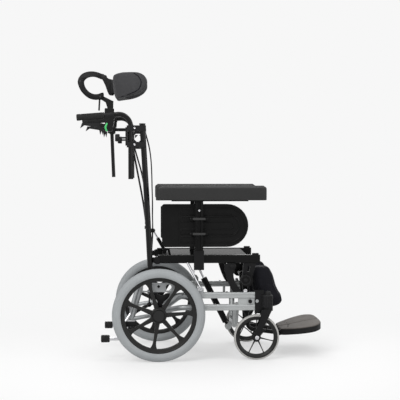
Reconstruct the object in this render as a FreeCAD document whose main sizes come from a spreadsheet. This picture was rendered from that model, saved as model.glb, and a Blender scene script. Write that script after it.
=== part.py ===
"""Tilt-in-space wheelchair, a parametric model in millimetres.

+X is forward, +Z is up and the occupant's left is +Y.  Sizes and places are
measured from the ground and from the rear axle.  The finished pieces are then
moved along X, so that the origin is under the middle of the chair.
The right side is modelled, and the left side is its mirror image.
"""
import FreeCAD, Part
import math
import os
import re

import Sketcher
from FreeCAD import Placement, Rotation, Vector

# Driving sizes. Every name holds an underscore. Angles are in degrees.
SIZES = {
    # clearances
    "run_gap": 0.05,
    "side_gap": 0.5,
    "free_gap": 1.5,
    # rear wheels
    "wheel_r": 203,
    "wheel_y": 270,
    "tyre_w": 45,
    "tyre_depth": 36,
    "rim_depth": 19,
    "rim_w": 34,
    "hub_r": 35,
    "hub_w": 40,
    "hub_cap_t": 5,
    "spoke_n": 7,
    "spoke_t": 12,
    "spoke_mid_w": 13,
    "spoke_root_w": 24,
    "spoke_tip_w": 34,
    "spoke_turn": 5,
    "axle_r": 6,
    # castors
    "fork_x": 480,
    "caster_y": 235,
    "caster_trail": 50,
    "caster_r": 100,
    "caster_w": 28,
    "caster_tyre_depth": 10,
    "caster_rim_depth": 14,
    "caster_rim_w": 20,
    "caster_hub_r": 15,
    "caster_spoke_n": 7,
    "caster_spoke_w": 5,
    "caster_axle_r": 5,
    "fork_leg_t": 5,
    "fork_leg_w": 30,
    "fork_side_gap": 3,
    "crown_t": 10,
    "stem_r": 8,
    "stem_len": 62,
    "housing_r": 22,
    "housing_len": 68,
    # base frame
    "rail_y": 225,
    "rail_w": 20,
    "rail_h": 27,
    "rail_groove_w": 7,
    "rail_groove_d": 2.5,
    "upper_rail_z": 284,
    "lower_rail_z": 230.5,
    "rail_back_x": 150,
    "rail_front_x": 423,
    "front_plate_len": 40,
    "front_plate_top_z": 305,
    "gusset_len": 74,
    "gusset_t": 6,
    "bolt_r": 7,
    "bolt_h": 4,
    "screw_r": 4,
    "screw_h": 2,
    "beam_r": 14,
    "bracket_t": 6,
    "bracket_foot_w": 28,
    "bracket_top_w": 84,
    "plate_t": 10,
    "plate_back_x": -76,
    "plate_front_x": 85,
    "plate_low_z": 300,
    "plate_top_z": 340,
    "upright_r": 12,
    "upright_foot_x": -119,
    "upright_foot_z": 182,
    "curve_tube_r": 12,
    "drop_tube_r": 13,
    "drop_tube_x": 350,
    "drop_tube_y": 92,
    "drop_tube_low_z": 130,
    # tipping levers
    "tip_y": 200,
    "tip_r": 8.5,
    "tip_end_x": -215,
    "tip_end_z": 92,
    "tip_pad_len": 38,
    "tip_pad_r": 17,
    # tilt pivot and its brackets on the base
    "tilt_x": 322,
    "tilt_z": 408,
    "tilt_pin_r": 8,
    "tilt_bracket_y": 219,
    "tilt_bracket_t": 8,
    "tilt_bracket_w": 30,
    # seat frame
    "seat_rail_y": 200,
    "seat_rail_w": 24,
    "seat_rail_low_z": 424,
    "seat_rail_h": 36,
    "seat_back_x": -3,
    "seat_front_x": 448,
    "seat_bar_h": 24,
    "pan_t": 6,
    "pan_back_x": 20,
    "pan_front_x": 392,
    "pan_hole_r": 4,
    "pan_hole_dx": 240,
    "pan_hole_dy": 260,
    # back frame and recline pivot
    "recline_x": -5,
    "recline_z": 437,
    "recline_pin_r": 7,
    "recline_lug_r": 17,
    "recline_plate_t": 5,
    "cane_y": 200,
    "cane_r": 12.5,
    "cane_foot_x": -36.5,
    "cane_foot_z": 404,
    "cane_mid_x": -51,
    "cane_mid_z": 702,
    "cane_top_x": -70,
    "cane_top_z": 1032,
    "back_bar_z": 560,
    "back_bar_r": 10,
    "cable_r": 2.2,
    "cable_clip_z": 588,
    # push handles
    "handle_x": -121,
    "handle_r": 11,
    "handle_low_z": 794,
    "handle_top_z": 1082,
    "handle_bend_r": 52,
    "grip_front_x": -236,
    "grip_back_x": -357,
    "grip_back_z": 1063,
    "grip_r": 14.5,
    "clamp_w": 34,
    "upper_clamp_z": 1017,
    "lower_clamp_z": 945,
    "clamp_h": 24,
    # armrests
    "post_x": 176.5,
    "post_w": 37,
    "post_t": 12,
    "post_y": 235.5,
    "post_low_z": 405,
    "post_top_z": 698,
    "socket_wall": 3,
    "socket_low_z": 397,
    "socket_top_z": 482,
    "guard_t": 3.5,
    "guard_back_x": 17,
    "guard_front_x": 392,
    "guard_low_z": 500,
    "guard_top_z": 692,
    "guard_front_r": 94,
    "guard_back_r": 22,
    "clip_w": 73,
    "clip_h": 13,
    "clip_t": 4,
    "low_clip_z": 556,
    "high_clip_z": 620,
    "arm_plate_back_x": 57,
    "arm_plate_front_x": 391,
    "arm_plate_w": 50,
    "arm_plate_t": 8,
    "arm_pad_back_x": -8,
    "arm_pad_front_x": 468,
    "arm_pad_w": 84,
    "arm_pad_h": 56,
    "arm_pad_crown": 8,
    "arm_pad_end_r": 18,
    # headrest
    "rest_post_r": 8,
    "rest_post_back": 93,
    "rest_post_lean": 12,
    "rest_post_rise": 88,
    "rest_post_drop": 216,
    "ring_back": 88,
    "ring_rise": 108,
    "rest_one_dx": 41,
    "rest_one_dz": -47,
    "rest_two_dx": -50,
    "rest_two_dz": 23,
    "rest_three_dx": 58,
    "rest_three_dz": 40,
    "ring_r": 60,
    "ring_w": 24,
    "link_t": 9,
    "rest_boss_r": 13,
    "rest_pin_r": 4,
    "rest_pad_w": 250,
    "rest_pad_depth": 161,
    "rest_pad_gap": 38,
    "rest_pad_low": 33,
    "rest_pad_corner_r": 62,
    "rest_pad_h": 130,
    "rest_pad_t": 44,
    "rest_pad_lean": 20,
    # legrests
    "knee_x": 389,
    "knee_z": 348,
    "knee_pin_r": 10,
    "knob_r": 26,
    "knob_t": 20,
    "leg_y": 65,
    "leg_r": 12.5,
    "leg_low_z": 185,
    "foot_tube_r": 9.5,
    "foot_tube_top_z": 310,
    "foot_bend_z": 124,
    "flip_x": 545,
    "flip_z": 108,
    "flip_pin_r": 6,
    "calf_y": 122,
    "calf_w": 112,
    # footplates
    "sole_slope": 11.2,
    "sole_t": 30,
    "sole_gap": 3,
    "sole_toe_x": 745,
    "sole_w": 182,
    # tilt gas spring
    "spring_x": 322,
    "spring_z": 112,
    "spring_r": 14,
    "spring_len": 233,
    "spring_rod_r": 5,
    "spring_top_x": 172,
    "spring_top_z": 412,
    "spring_pin_r": 5,
    # wheel locks
    "brake_gap": 12,
    "brake_angle": 31.7,
    "brake_pin_r": 5,
    "brake_lean": 59,
    "brake_rise": 114,
}

# Places worked out from the driving sizes.
PLACES = {
    "bead_r": "wheel_r - tyre_depth",
    "rim_r": "wheel_r - tyre_depth - rim_depth",
    "caster_bead_r": "caster_r - caster_tyre_depth",
    "caster_rim_r": "caster_r - caster_tyre_depth - caster_rim_depth",
    "rail_in_y": "rail_y - rail_w / 2",
    "rail_out_y": "rail_y + rail_w / 2",
    "upper_rail_top_z": "upper_rail_z + rail_h / 2",
    "upper_rail_low_z": "upper_rail_z - rail_h / 2",
    "lower_rail_top_z": "lower_rail_z + rail_h / 2",
    "hub_in_y": "wheel_y - hub_w / 2",
    "hub_out_y": "wheel_y + hub_w / 2",
    "bracket_out_y": "rail_out_y + bracket_t",
    "caster_x": "fork_x - caster_trail",
    "fork_in_y": "caster_w / 2 + fork_side_gap",
    "fork_out_y": "caster_w / 2 + fork_side_gap + fork_leg_t",
    "crown_low_z": "2 * caster_r + 2 * fork_side_gap",
    "crown_top_z": "2 * caster_r + 2 * fork_side_gap + crown_t",
    "housing_low_z": "2 * caster_r + 2 * fork_side_gap + crown_t + side_gap",
    "seat_top_z": "seat_rail_low_z + seat_rail_h",
    "seat_in_y": "seat_rail_y - seat_rail_w / 2",
    "seat_out_y": "seat_rail_y + seat_rail_w / 2",
    "post_back_x": "post_x - post_w / 2",
    "post_front_x": "post_x + post_w / 2",
    "post_in_y": "post_y - post_t / 2",
    "post_out_y": "post_y + post_t / 2",
    "guard_in_y": "post_y - post_t / 2 - guard_t",
    "arm_pad_low_z": "post_top_z + arm_plate_t",
    "rest_post_top_x": "handle_x - rest_post_back",
    "rest_post_low_x": "handle_x - rest_post_back + rest_post_lean",
    "rest_post_top_z": "upper_clamp_z + rest_post_rise",
    "rest_post_low_z": "upper_clamp_z - rest_post_drop",
    "ring_x": "handle_x - rest_post_back - ring_back",
    "ring_z": "upper_clamp_z + rest_post_rise + ring_rise",
    "rest_one_x": "handle_x - rest_post_back - ring_back + rest_one_dx",
    "rest_one_z": "upper_clamp_z + rest_post_rise + ring_rise + rest_one_dz",
    "rest_two_x": "handle_x - rest_post_back - ring_back + rest_two_dx",
    "rest_two_z": "upper_clamp_z + rest_post_rise + ring_rise + rest_two_dz",
    "rest_three_x": "handle_x - rest_post_back - ring_back + rest_three_dx",
    "rest_three_z": "upper_clamp_z + rest_post_rise + ring_rise + rest_three_dz",
    "rest_pad_back_x": "handle_x - rest_post_back - ring_back + rest_three_dx + rest_pad_gap",
    "rest_pad_z": "upper_clamp_z + rest_post_rise + ring_rise + rest_three_dz - rest_pad_low",
    "brake_x": "(wheel_r + brake_gap) * cos(brake_angle)",
    "brake_z": "wheel_r + (wheel_r + brake_gap) * sin(brake_angle)",
    "shift_x": "-(sole_toe_x + grip_back_x - grip_r) / 2",
}

doc = FreeCAD.newDocument("tilt_wheelchair")
pieces = []


def bound(text):
    """Name the sheet of every size and place in an expression."""
    def with_sheet(match):
        name = match.group(0)
        if name in SIZES:
            return "sizes." + name
        return "places." + name if name in PLACES else name
    return re.sub(r"[a-z]+(?:_[a-z0-9]+)+", with_sheet, str(text))


def add_sheet(title, cells):
    """A spreadsheet with one named cell in each row."""
    sheet = doc.addObject("Spreadsheet::Sheet", title)
    for row, (name, value) in enumerate(cells.items(), 1):
        sheet.set(f"A{row}", name)
        sheet.set(f"B{row}", value)
        sheet.setAlias(f"B{row}", name)
    doc.recompute()
    return sheet


sheet = add_sheet("sizes", {name: str(value) for name, value in SIZES.items()})
add_sheet("places", {name: "=" + bound(text) for name, text in PLACES.items()})


def number(text):
    """The value of an expression as a plain number."""
    value = sheet.evalExpression(bound(text))
    return float(getattr(value, "Value", value))


def point(x, y, z):
    """A point from three expressions."""
    return Vector(number(x), number(y), number(z))


def bind(item, prop, text):
    """Tie one property of an object to the sheets."""
    item.setExpression(prop, bound(text))


def place(item, x, y, z):
    """Tie an object's position to the sheets."""
    for axis, text in zip("xyz", (x, y, z)):
        bind(item, f"Placement.Base.{axis}", text)


def box(name, x, y, z):
    """A box between two expressions along each axis."""
    item = doc.addObject("Part::Box", name)
    for prop, (low, high) in zip(("Length", "Width", "Height"), (x, y, z)):
        bind(item, prop, f"({high}) - ({low})")
    place(item, x[0], y[0], z[0])
    return item


def rod(name, start, end, radius):
    """A round bar between two points."""
    item = doc.addObject("Part::Cylinder", name)
    gaps = [f"(({b}) - ({a}))" for a, b in zip(start, end)]
    length = "sqrt(" + " + ".join(f"{gap} ^ 2" for gap in gaps) + ")"
    bind(item, "Radius", radius)
    bind(item, "Height", length)
    way = point(*end) - point(*start)
    if abs(way.x) + abs(way.y) > 1e-9:
        item.Placement.Rotation = Rotation(Vector(0, 0, 1), way)
        bind(item, "Placement.Rotation.Axis.x", f"-{gaps[1]}")
        bind(item, "Placement.Rotation.Axis.y", gaps[0])
        bind(item, "Placement.Rotation.Axis.z", "0")
        bind(item, "Placement.Rotation.Angle", f"acos({gaps[2]} / {length})")
    elif way.z < 0:
        item.Placement.Rotation = Rotation(Vector(1, 0, 0), 180)
    place(item, *start)
    return item


def disc(name, x, z, radius, low_y, high_y):
    """A round bar or disc across the chair."""
    return rod(name, (x, low_y, z), (x, high_y, z), radius)


def cut(name, base, *tools):
    """Base less its tools."""
    for index, tool in enumerate(tools):
        item = doc.addObject("Part::Cut", f"{name}_{index}")
        item.Base, item.Tool = base, tool
        base = item
    return base


def fuse(name, *parts):
    """Several overlapping pieces as one solid."""
    item = doc.addObject("Part::MultiFuse", name)
    item.Shapes = list(parts)
    item.Refine = True
    return item


def mirrored(item):
    """The other side's copy."""
    other = doc.addObject("Part::Mirroring", item.Name + "_left")
    other.Source = item
    other.Normal = Vector(0, 1, 0)
    return other


def group(name, parts):
    """Separate pieces kept together."""
    item = doc.addObject("Part::Compound", name)
    item.Links = list(parts)
    return item


def node(name, *parts):
    """A finished sub-part, moved to the shared origin."""
    item = group(name, parts)
    item.Label = name
    bind(item, "Placement.Base.x", "shift_x")
    pieces.append(item)
    return item


def both(name, *parts):
    """One sub-part that holds a right piece and its left copy."""
    side = group(name + "_side", parts)
    return node(name, side, mirrored(side))


def pair(name, *parts):
    """Two sub-parts, one for each side of the chair."""
    side = group(name + "_side", parts)
    node("right_" + name, side)
    node("left_" + name, mirrored(side))


def origin_part(body, role):
    """One plane or axis of a body's own origin."""
    return next(item for item in body.Origin.OriginFeatures if item.Role == role)


def outline(body, name, plane, corners, offset="0"):
    """A closed sketch of straight sides whose corners are tied to the sheets."""
    sketch = body.newObject("Sketcher::SketchObject", name)
    sketch.AttachmentSupport = [(origin_part(body, plane), "")]
    sketch.MapMode = "FlatFace"
    bind(sketch, "AttachmentOffset.Base.z", offset)
    flat = [Vector(number(a), number(b), 0) for a, b in corners]
    for index, corner in enumerate(flat):
        sketch.addGeometry(Part.LineSegment(corner, flat[(index + 1) % len(flat)]))
    for index in range(len(flat)):
        sketch.addConstraint(Sketcher.Constraint("Coincident", index, 2, (index + 1) % len(flat), 1))
    for index, (across, up) in enumerate(corners):
        for kind, text in (("DistanceX", across), ("DistanceY", up)):
            link = sketch.addConstraint(Sketcher.Constraint(kind, -1, 1, index, 1, number(text)))
            if not isinstance(text, (int, float)):
                bind(sketch, f"Constraints[{link}]", text)
    return sketch


# Each plane's name, whether its pads run backwards, and the axes that its sketches are drawn on.
PLANES = {"XZ": ("XZ_Plane", True, "xz"), "YZ": ("YZ_Plane", False, "yz"), "XY": ("XY_Plane", False, "xy")}


def prism(name, plane, corners, low, high, rounds=None):
    """A flat outline given a thickness, with rounds on the named corners."""
    body = doc.addObject("PartDesign::Body", name)
    role, backwards, axes = PLANES[plane]
    start = f"-({high})" if backwards else f"({low})"
    sketch = outline(body, name + "_outline", role, corners, start)
    pad = body.newObject("PartDesign::Pad", name + "_pad")
    pad.Profile = (sketch, [""])
    bind(pad, "Length", f"({high}) - ({low})")
    if rounds:
        doc.recompute()
        for turn, (radius, picks) in enumerate(rounds.items()):
            base = body.Tip
            edges = corner_edges(base.Shape, [corners[pick] for pick in picks], axes)
            fillet = body.newObject("PartDesign::Fillet", f"{name}_round_{turn}")
            fillet.Base = (base, edges)
            bind(fillet, "Radius", radius)
            doc.recompute()
    return body


def corner_edges(shape, corners, axes):
    """The names of the straight edges that stand on the given corners."""
    spots = [(number(a), number(b)) for a, b in corners]
    names = []
    for index, edge in enumerate(shape.Edges, 1):
        ends = [vertex.Point for vertex in edge.Vertexes]
        flat = [(getattr(end, axes[0]), getattr(end, axes[1])) for end in ends]
        on_spot = [all(math.dist(end, spot) < 0.01 for end in flat) for spot in spots]
        if len(ends) == 2 and any(on_spot):
            names.append(f"Edge{index}")
    return names


def arc_path(points, radii):
    """A wire of straight runs joined by tangent arcs, one radius for each inner point."""
    edges = []
    start = points[0]
    for before, corner, after, radius in zip(points, points[1:], points[2:], radii):
        way_in = (corner - before).normalize()
        way_out = (after - corner).normalize()
        turn = way_in.getAngle(way_out)
        reach = radius * math.tan(turn / 2)
        enter = corner - way_in * reach
        leave = corner + way_out * reach
        middle = (enter + leave) * 0.5
        pull = (corner - middle).normalize()
        bulge = radius / math.cos(turn / 2) - radius
        if (enter - start).Length > 1e-6:
            edges.append(Part.LineSegment(start, enter).toShape())
        edges.append(Part.Arc(enter, corner - pull * bulge, leave).toShape())
        start = leave
    edges.append(Part.LineSegment(start, points[-1]).toShape())
    return Part.Wire(edges)


def bent_tube(name, corners, radius, bends):
    """A round tube along straight runs and bends."""
    points = [point(*corner) for corner in corners]
    radii = [number(bend) for bend in bends] if isinstance(bends, (list, tuple)) else [number(bends)] * (len(points) - 2)
    path = arc_path(points, radii)
    ring = Part.Circle(points[0], points[1] - points[0], number(radius)).toShape()
    item = doc.addObject("Part::Feature", name)
    item.Shape = path.makePipeShell([Part.Wire([ring])], True, False)
    return item


def turned(body, name, corners):
    """A ring or disc turned about a body's own Y axis; corners are radius and width."""
    sketch = outline(body, name + "_section", "XY_Plane", corners)
    ring = body.newObject("PartDesign::Revolution", name)
    ring.Profile = (sketch, [""])
    ring.ReferenceAxis = (sketch, ["V_Axis"])
    ring.Angle = 360
    return ring


def spoked_rim(name, half, x, y, z, bore, turn):
    """Hub, flared spokes and rim of one wheel; half holds the widths and radii."""
    body = doc.addObject("PartDesign::Body", name)
    wide = f"{half['hub_w']} / 2"
    cap = f"-({wide} + {half['cap']})"
    turned(body, name + "_hub", [
        (0, wide), (f"{half['hub_r']} * 0.85", wide), (half["hub_r"], f"{wide} * 0.6"), (half["hub_r"], f"-{wide}"),
        (f"{half['hub_r']} * 0.75", cap), (0, cap)])
    start, end = f"{half['hub_r']} * 0.9", f"{half['rim_r']} + 1"
    neck, flare = f"{half['hub_r']} * 1.8", f"{half['rim_r']} * 0.8"
    side = [(start, half["root"]), (neck, half["mid"]), (flare, half["mid"]), (end, half["tip"])]
    corners = [(x_, f"-{w_} / 2") for x_, w_ in side] + [(x_, f"{w_} / 2") for x_, w_ in reversed(side)]
    sketch = outline(body, name + "_spoke_outline", "XZ_Plane", corners)
    spoke = body.newObject("PartDesign::Pad", name + "_spoke")
    spoke.Profile = (sketch, [""])
    spoke.Midplane = True
    bind(spoke, "Length", half["thick"])
    doc.recompute()
    ring = body.newObject("PartDesign::PolarPattern", name + "_spokes")
    ring.Originals = [spoke]
    ring.Axis = (origin_part(body, "Y_Axis"), [""])
    ring.Angle = 360
    bind(ring, "Occurrences", half["count"])
    body.Tip = ring
    doc.recompute()
    rim = f"{half['rim_w']} / 2"
    turned(body, name + "_rim", [
        (half["rim_r"], f"-{rim} * 0.8"), (f"{half['rim_r']} + 3", f"-{rim}"), (half["bead"], f"-{rim}"),
        (half["bead"], rim), (f"{half['rim_r']} + 3", rim), (half["rim_r"], f"{rim} * 0.8")])
    body.Placement.Rotation = Rotation(Vector(0, 1, 0), 1)
    bind(body, "Placement.Rotation.Angle", turn)
    place(body, x, y, z)
    hole = disc(name + "_bore", x, z, bore, *half["bore_y"])
    return cut(name + "_bored", body, hole)


def tyre(name, x, y, z, outer, width, bead):
    """A tyre: the part of a torus that lies outside the rim."""
    ring = doc.addObject("Part::Torus", name)
    bind(ring, "Radius1", f"{outer} - {width} / 2")
    bind(ring, "Radius2", f"{width} / 2")
    ring.Placement.Rotation = Rotation(Vector(1, 0, 0), 90)
    place(ring, x, y, z)
    return cut(name + "_seated", ring, disc(name + "_seat", x, z, bead, f"{y} - {width}", f"{y} + {width}"))


def rear_wheels():
    """Sixteen inch wheels on fixed axles."""
    pair("rear_tyre", tyre("rear_tyre_ring", "0", "-wheel_y", "wheel_r", "wheel_r", "tyre_w", "bead_r"))
    half = {"hub_w": "hub_w", "hub_r": "hub_r", "cap": "hub_cap_t", "rim_r": "rim_r", "rim_w": "rim_w",
            "bead": "bead_r", "root": "spoke_root_w", "mid": "spoke_mid_w", "tip": "spoke_tip_w",
            "thick": "spoke_t", "count": "spoke_n", "bore_y": ("-hub_out_y", "-hub_in_y + 1")}
    pair("rear_rim", spoked_rim("rear_wheel", half, "0", "-wheel_y", "wheel_r", "axle_r + run_gap", "-spoke_turn"))


def casters():
    """Swivelling front wheels, each in a fork whose stem turns in the base's housing."""
    y = "-caster_y"
    pair("caster_tyre", tyre("caster_tyre_ring", "caster_x", y, "caster_r", "caster_r", "caster_w", "caster_bead_r"))
    half = {"hub_w": "caster_w", "hub_r": "caster_hub_r", "cap": "0.5", "rim_r": "caster_rim_r",
            "rim_w": "caster_rim_w", "bead": "caster_bead_r", "root": "caster_spoke_w * 1.6", "mid": "caster_spoke_w",
            "tip": "caster_spoke_w * 2", "thick": "caster_spoke_w * 1.4", "count": "caster_spoke_n",
            "bore_y": ("-caster_y - caster_w", "-caster_y + caster_w")}
    pair("caster_rim", spoked_rim("caster_wheel", half, "caster_x", y, "caster_r", "caster_axle_r + run_gap", "12"))
    legs = []
    for index, (low, high) in enumerate((("-fork_out_y", "-fork_in_y"), ("fork_in_y", "fork_out_y"))):
        corners = [("caster_x - 11", "caster_r + 7"), ("caster_x + 11", "caster_r - 7"),
                   ("fork_x + 12", "crown_low_z - 26"), ("fork_x + fork_leg_w / 2 + 3", "crown_top_z"),
                   ("fork_x - fork_leg_w / 2 - 3", "crown_top_z"), ("fork_x - 22", "crown_low_z - 26")]
        legs.append(prism(f"fork_leg_{index}", "XZ", corners, f"-caster_y + ({low})", f"-caster_y + ({high})"))
        legs.append(disc(f"fork_boss_{index}", "caster_x", "caster_r", "13", f"-caster_y + ({low})",
                         f"-caster_y + ({high})"))
    crown = box("fork_crown", ("fork_x - fork_leg_w / 2 - 3", "fork_x + fork_leg_w / 2 + 3"),
                ("-caster_y - fork_out_y", "-caster_y + fork_out_y"), ("crown_low_z", "crown_top_z"))
    stem = rod("fork_stem", ("fork_x", y, "crown_top_z - 1"), ("fork_x", y, "crown_top_z + stem_len"), "stem_r")
    axle = disc("fork_axle", "caster_x", "caster_r", "caster_axle_r", "-caster_y - fork_out_y - 3",
                "-caster_y + fork_out_y + 3")
    caps = [disc(f"fork_cap_{index}", "caster_x", "caster_r", "10", *span) for index, span in enumerate((
        ("-caster_y - fork_out_y - 3", "-caster_y - fork_out_y"), ("-caster_y + fork_out_y", "-caster_y + fork_out_y + 3")))]
    pair("caster_fork", fuse("fork", *legs, crown, stem, axle, *caps))


def base_rails():
    """Two grooved rails on each side, joined by a gusset and a post."""
    parts = []
    for name, z in (("upper_rail", "upper_rail_z"), ("lower_rail", "lower_rail_z")):
        out, groove, high = "rail_w / 2", "rail_groove_w / 2", "rail_h / 2"
        deep = "(rail_w / 2 - rail_groove_d)"
        ring = [(f"-{out}", f"-{high}"), (out, f"-{high}"), (out, f"-{groove}"), (deep, f"-{groove}"),
                (deep, groove), (out, groove), (out, high), (f"-{out}", high),
                (f"-{out}", groove), (f"-{deep}", groove), (f"-{deep}", f"-{groove}"), (f"-{out}", f"-{groove}")]
        corners = [(f"-rail_y + {a}", f"{z} + {b}") for a, b in ring]
        parts.append(prism(name, "YZ", corners, "rail_back_x", "rail_front_x", {"5": (0, 1, 6, 7)}))
    parts.append(box("gusset", ("rail_front_x - gusset_len", "rail_front_x"),
                     ("-rail_y - gusset_t / 2", "-rail_y + gusset_t / 2"), ("lower_rail_top_z", "upper_rail_low_z")))
    parts.append(rod("rail_post", ("drop_tube_x - 30", "-rail_y", "lower_rail_top_z"),
                     ("drop_tube_x - 30", "-rail_y", "upper_rail_low_z"), "gusset_t"))
    both("base_rails", *parts)


def rear_frame():
    """Axle beam, curved stays to the rails, slanted uprights and their foot tubes."""
    beam = rod("axle_beam", ("0", "-rail_out_y", "wheel_r"), ("0", "0", "wheel_r"), "beam_r")
    stays = [
        bent_tube("upper_stay", [("rail_back_x", "-rail_y", "upper_rail_z"), ("rail_back_x - 52", "-rail_y", "upper_rail_z"),
                                 ("20", "-rail_y + 115", "wheel_r + 6"), ("0", "-rail_y + 135", "wheel_r")],
                  "curve_tube_r", ["60", "20"]),
        bent_tube("lower_stay", [("rail_back_x", "-rail_y", "lower_rail_z"), ("rail_back_x - 52", "-rail_y", "lower_rail_z"),
                                 ("0", "-rail_y + 75", "wheel_r")], "curve_tube_r", ["60"])]
    plate_box = box("upright_notch", ("plate_back_x", "plate_front_x"), ("-rail_out_y", "-rail_out_y + plate_t"),
                    ("plate_low_z", "plate_top_z"))
    upright = rod("upright", ("upright_foot_x", "-rail_y - 0.5", "upright_foot_z"),
                  ("plate_back_x - 2", "-rail_y - 0.5", "plate_top_z - 18"), "upright_r")
    upright = cut("upright_fitted", upright, plate_box)
    foot = rod("upright_foot", ("upright_foot_x", "-rail_y - 0.5", "upright_foot_z"),
               ("0", "-rail_y - 0.5", "wheel_r"), "upright_r * 0.75")
    side = fuse("rear_side", beam, *stays, upright, foot)
    node("rear_frame", fuse("rear_frame_whole", side, mirrored(side)))
    brackets = prism("axle_bracket", "XZ", [
        ("-bracket_foot_w / 2", "wheel_r"), ("bracket_foot_w / 2", "wheel_r"),
        ("bracket_top_w / 2 + 4", "plate_low_z - 4"), ("bracket_top_w / 2 + 4", "plate_low_z + 10"),
        ("-bracket_top_w / 2 + 4", "plate_low_z + 10"), ("-bracket_top_w / 2 + 4", "plate_low_z - 4")],
        "-bracket_out_y", "-rail_out_y")
    boss = disc("bracket_boss", "0", "wheel_r", "bracket_foot_w / 2", "-bracket_out_y", "-rail_out_y")
    axle = disc("axle", "0", "wheel_r", "axle_r", "-hub_out_y + side_gap", "-rail_out_y")
    collar = disc("axle_collar", "0", "wheel_r", "axle_r * 2", "-hub_in_y + side_gap", "-rail_out_y")
    both("axle_brackets", fuse("axle_bracket_whole", brackets, boss, axle, collar))
    plate = prism("axle_plate", "XZ", [
        ("plate_back_x", "plate_low_z"), ("plate_front_x", "plate_low_z"), ("plate_front_x", "plate_top_z"),
        ("plate_back_x", "plate_top_z")], "-rail_out_y", "-rail_out_y + plate_t", {"9": (1, 2), "6": (0, 3)})
    holes = []
    for index, x in enumerate(("-56", "44")):
        holes.append(box(f"plate_window_{index}", (f"{x} - 12", f"{x} + 12"), ("-rail_out_y - 1", "-rail_in_y"),
                         ("plate_low_z + 6", "plate_low_z + 22")))
        holes.append(disc(f"plate_arch_{index}", x, "plate_low_z + 22", "12", "-rail_out_y - 1", "-rail_in_y"))
    holes.append(prism("plate_diamond", "XZ", [("-8", "plate_low_z + 24"), ("0", "plate_low_z + 16"),
                                               ("8", "plate_low_z + 24"), ("0", "plate_low_z + 32")],
                       "-rail_out_y - 1", "-rail_in_y"))
    both("axle_plates", cut("axle_plate_cut", plate, *holes))


def cross_tube():
    """A dropped cross tube that carries the foot of the tilt spring in a clevis."""
    half = bent_tube("drop_half", [("drop_tube_x", "-rail_in_y", "lower_rail_z"),
                                   ("drop_tube_x", "-drop_tube_y - 38", "lower_rail_z"),
                                   ("drop_tube_x - 4", "-drop_tube_y", "drop_tube_low_z"),
                                   ("drop_tube_x - 4", "0", "drop_tube_low_z")], "drop_tube_r", ["30", "30"])
    ear = prism("spring_ear", "XZ", [("drop_tube_x - 4", "drop_tube_low_z - 10"), ("drop_tube_x - 4", "drop_tube_low_z + 12"),
                                     ("spring_x - 6", "spring_z + 12"), ("spring_x + 2", "spring_z - 14")],
                "-spring_r - 1", "-spring_r * 0.6")
    boss = disc("spring_ear_boss", "spring_x", "spring_z", "14", "-spring_r - 1", "-spring_r * 0.6")
    pin = disc("spring_foot_pin", "spring_x", "spring_z", "spring_pin_r", "-spring_r - 6", "0")
    side = fuse("cross_side", half, ear, boss, pin)
    node("cross_tube", fuse("cross_tube_whole", side, mirrored(side)))


def caster_housings():
    """Black front plates with the upright housings of the castor stems."""
    plate = prism("front_plate", "XZ", [
        ("rail_front_x", "crown_low_z - 2"), ("rail_front_x + 24", "crown_low_z - 2"), ("rail_front_x + 24", "housing_low_z"),
        ("rail_front_x + front_plate_len", "housing_low_z"), ("rail_front_x + front_plate_len", "front_plate_top_z"),
        ("rail_front_x", "front_plate_top_z")], "-rail_out_y - 2", "-rail_in_y + 2", {"4": (4, 5)})
    tube = rod("housing", ("fork_x", "-caster_y", "housing_low_z"),
               ("fork_x", "-caster_y", "housing_low_z + housing_len"), "housing_r")
    cap = rod("housing_cap", ("fork_x", "-caster_y", "housing_low_z + housing_len"),
              ("fork_x", "-caster_y", "housing_low_z + housing_len + 7"), "housing_r * 0.5")
    bore = rod("housing_bore", ("fork_x", "-caster_y", "housing_low_z - 1"),
               ("fork_x", "-caster_y", "crown_top_z + stem_len + 1"), "stem_r + run_gap")
    both("caster_housings", cut("housing_bored", fuse("housing_whole", plate, tube, cap), bore))


def tilt_brackets():
    """Curved brackets on the upper rails that hold the tilt pins."""
    low, high = "-tilt_bracket_y - tilt_bracket_t / 2", "-tilt_bracket_y + tilt_bracket_t / 2"
    plate = prism("tilt_bracket", "XZ", [
        ("tilt_x - 3", "upper_rail_top_z"), ("tilt_x + 46", "upper_rail_top_z"),
        ("tilt_x + 28", "tilt_z - 62"), ("tilt_x + 19", "tilt_z - 4"), ("tilt_x - 19", "tilt_z - 4"),
        ("tilt_x - 16", "tilt_z - 50"), ("tilt_x - 10", "tilt_z - 82")], low, high)
    boss = disc("tilt_boss", "tilt_x", "tilt_z", "tilt_bracket_w * 0.65", low, high)
    pin = disc("tilt_pin", "tilt_x", "tilt_z", "tilt_pin_r", low, "-seat_in_y - 2")
    head = disc("tilt_pin_head", "tilt_x", "tilt_z", "tilt_pin_r * 1.4", f"{low} - 5", low)
    both("tilt_brackets", fuse("tilt_bracket_whole", plate, boss, pin, head))


def base_fittings():
    """Bolt heads, the screws on top of the rails and the mounts of the wheel locks."""
    heads = [brake_mount()]
    spots = [("rail_front_x - 16", "257", "-rail_y - gusset_t / 2"), ("rail_front_x + 9", "259", "-rail_out_y - 2")]
    for index, (x, z, face) in enumerate(spots):
        heads.append(disc(f"side_bolt_{index}", x, z, "bolt_r", f"{face} - bolt_h", face))
    for index, x in enumerate(("rail_back_x + 84", "rail_back_x + 150", "rail_front_x - 34")):
        heads.append(rod(f"rail_screw_{index}", (x, "-rail_y", "upper_rail_top_z"),
                         (x, "-rail_y", "upper_rail_top_z + screw_h"), "screw_r"))
    both("base_fittings", *heads)


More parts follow.
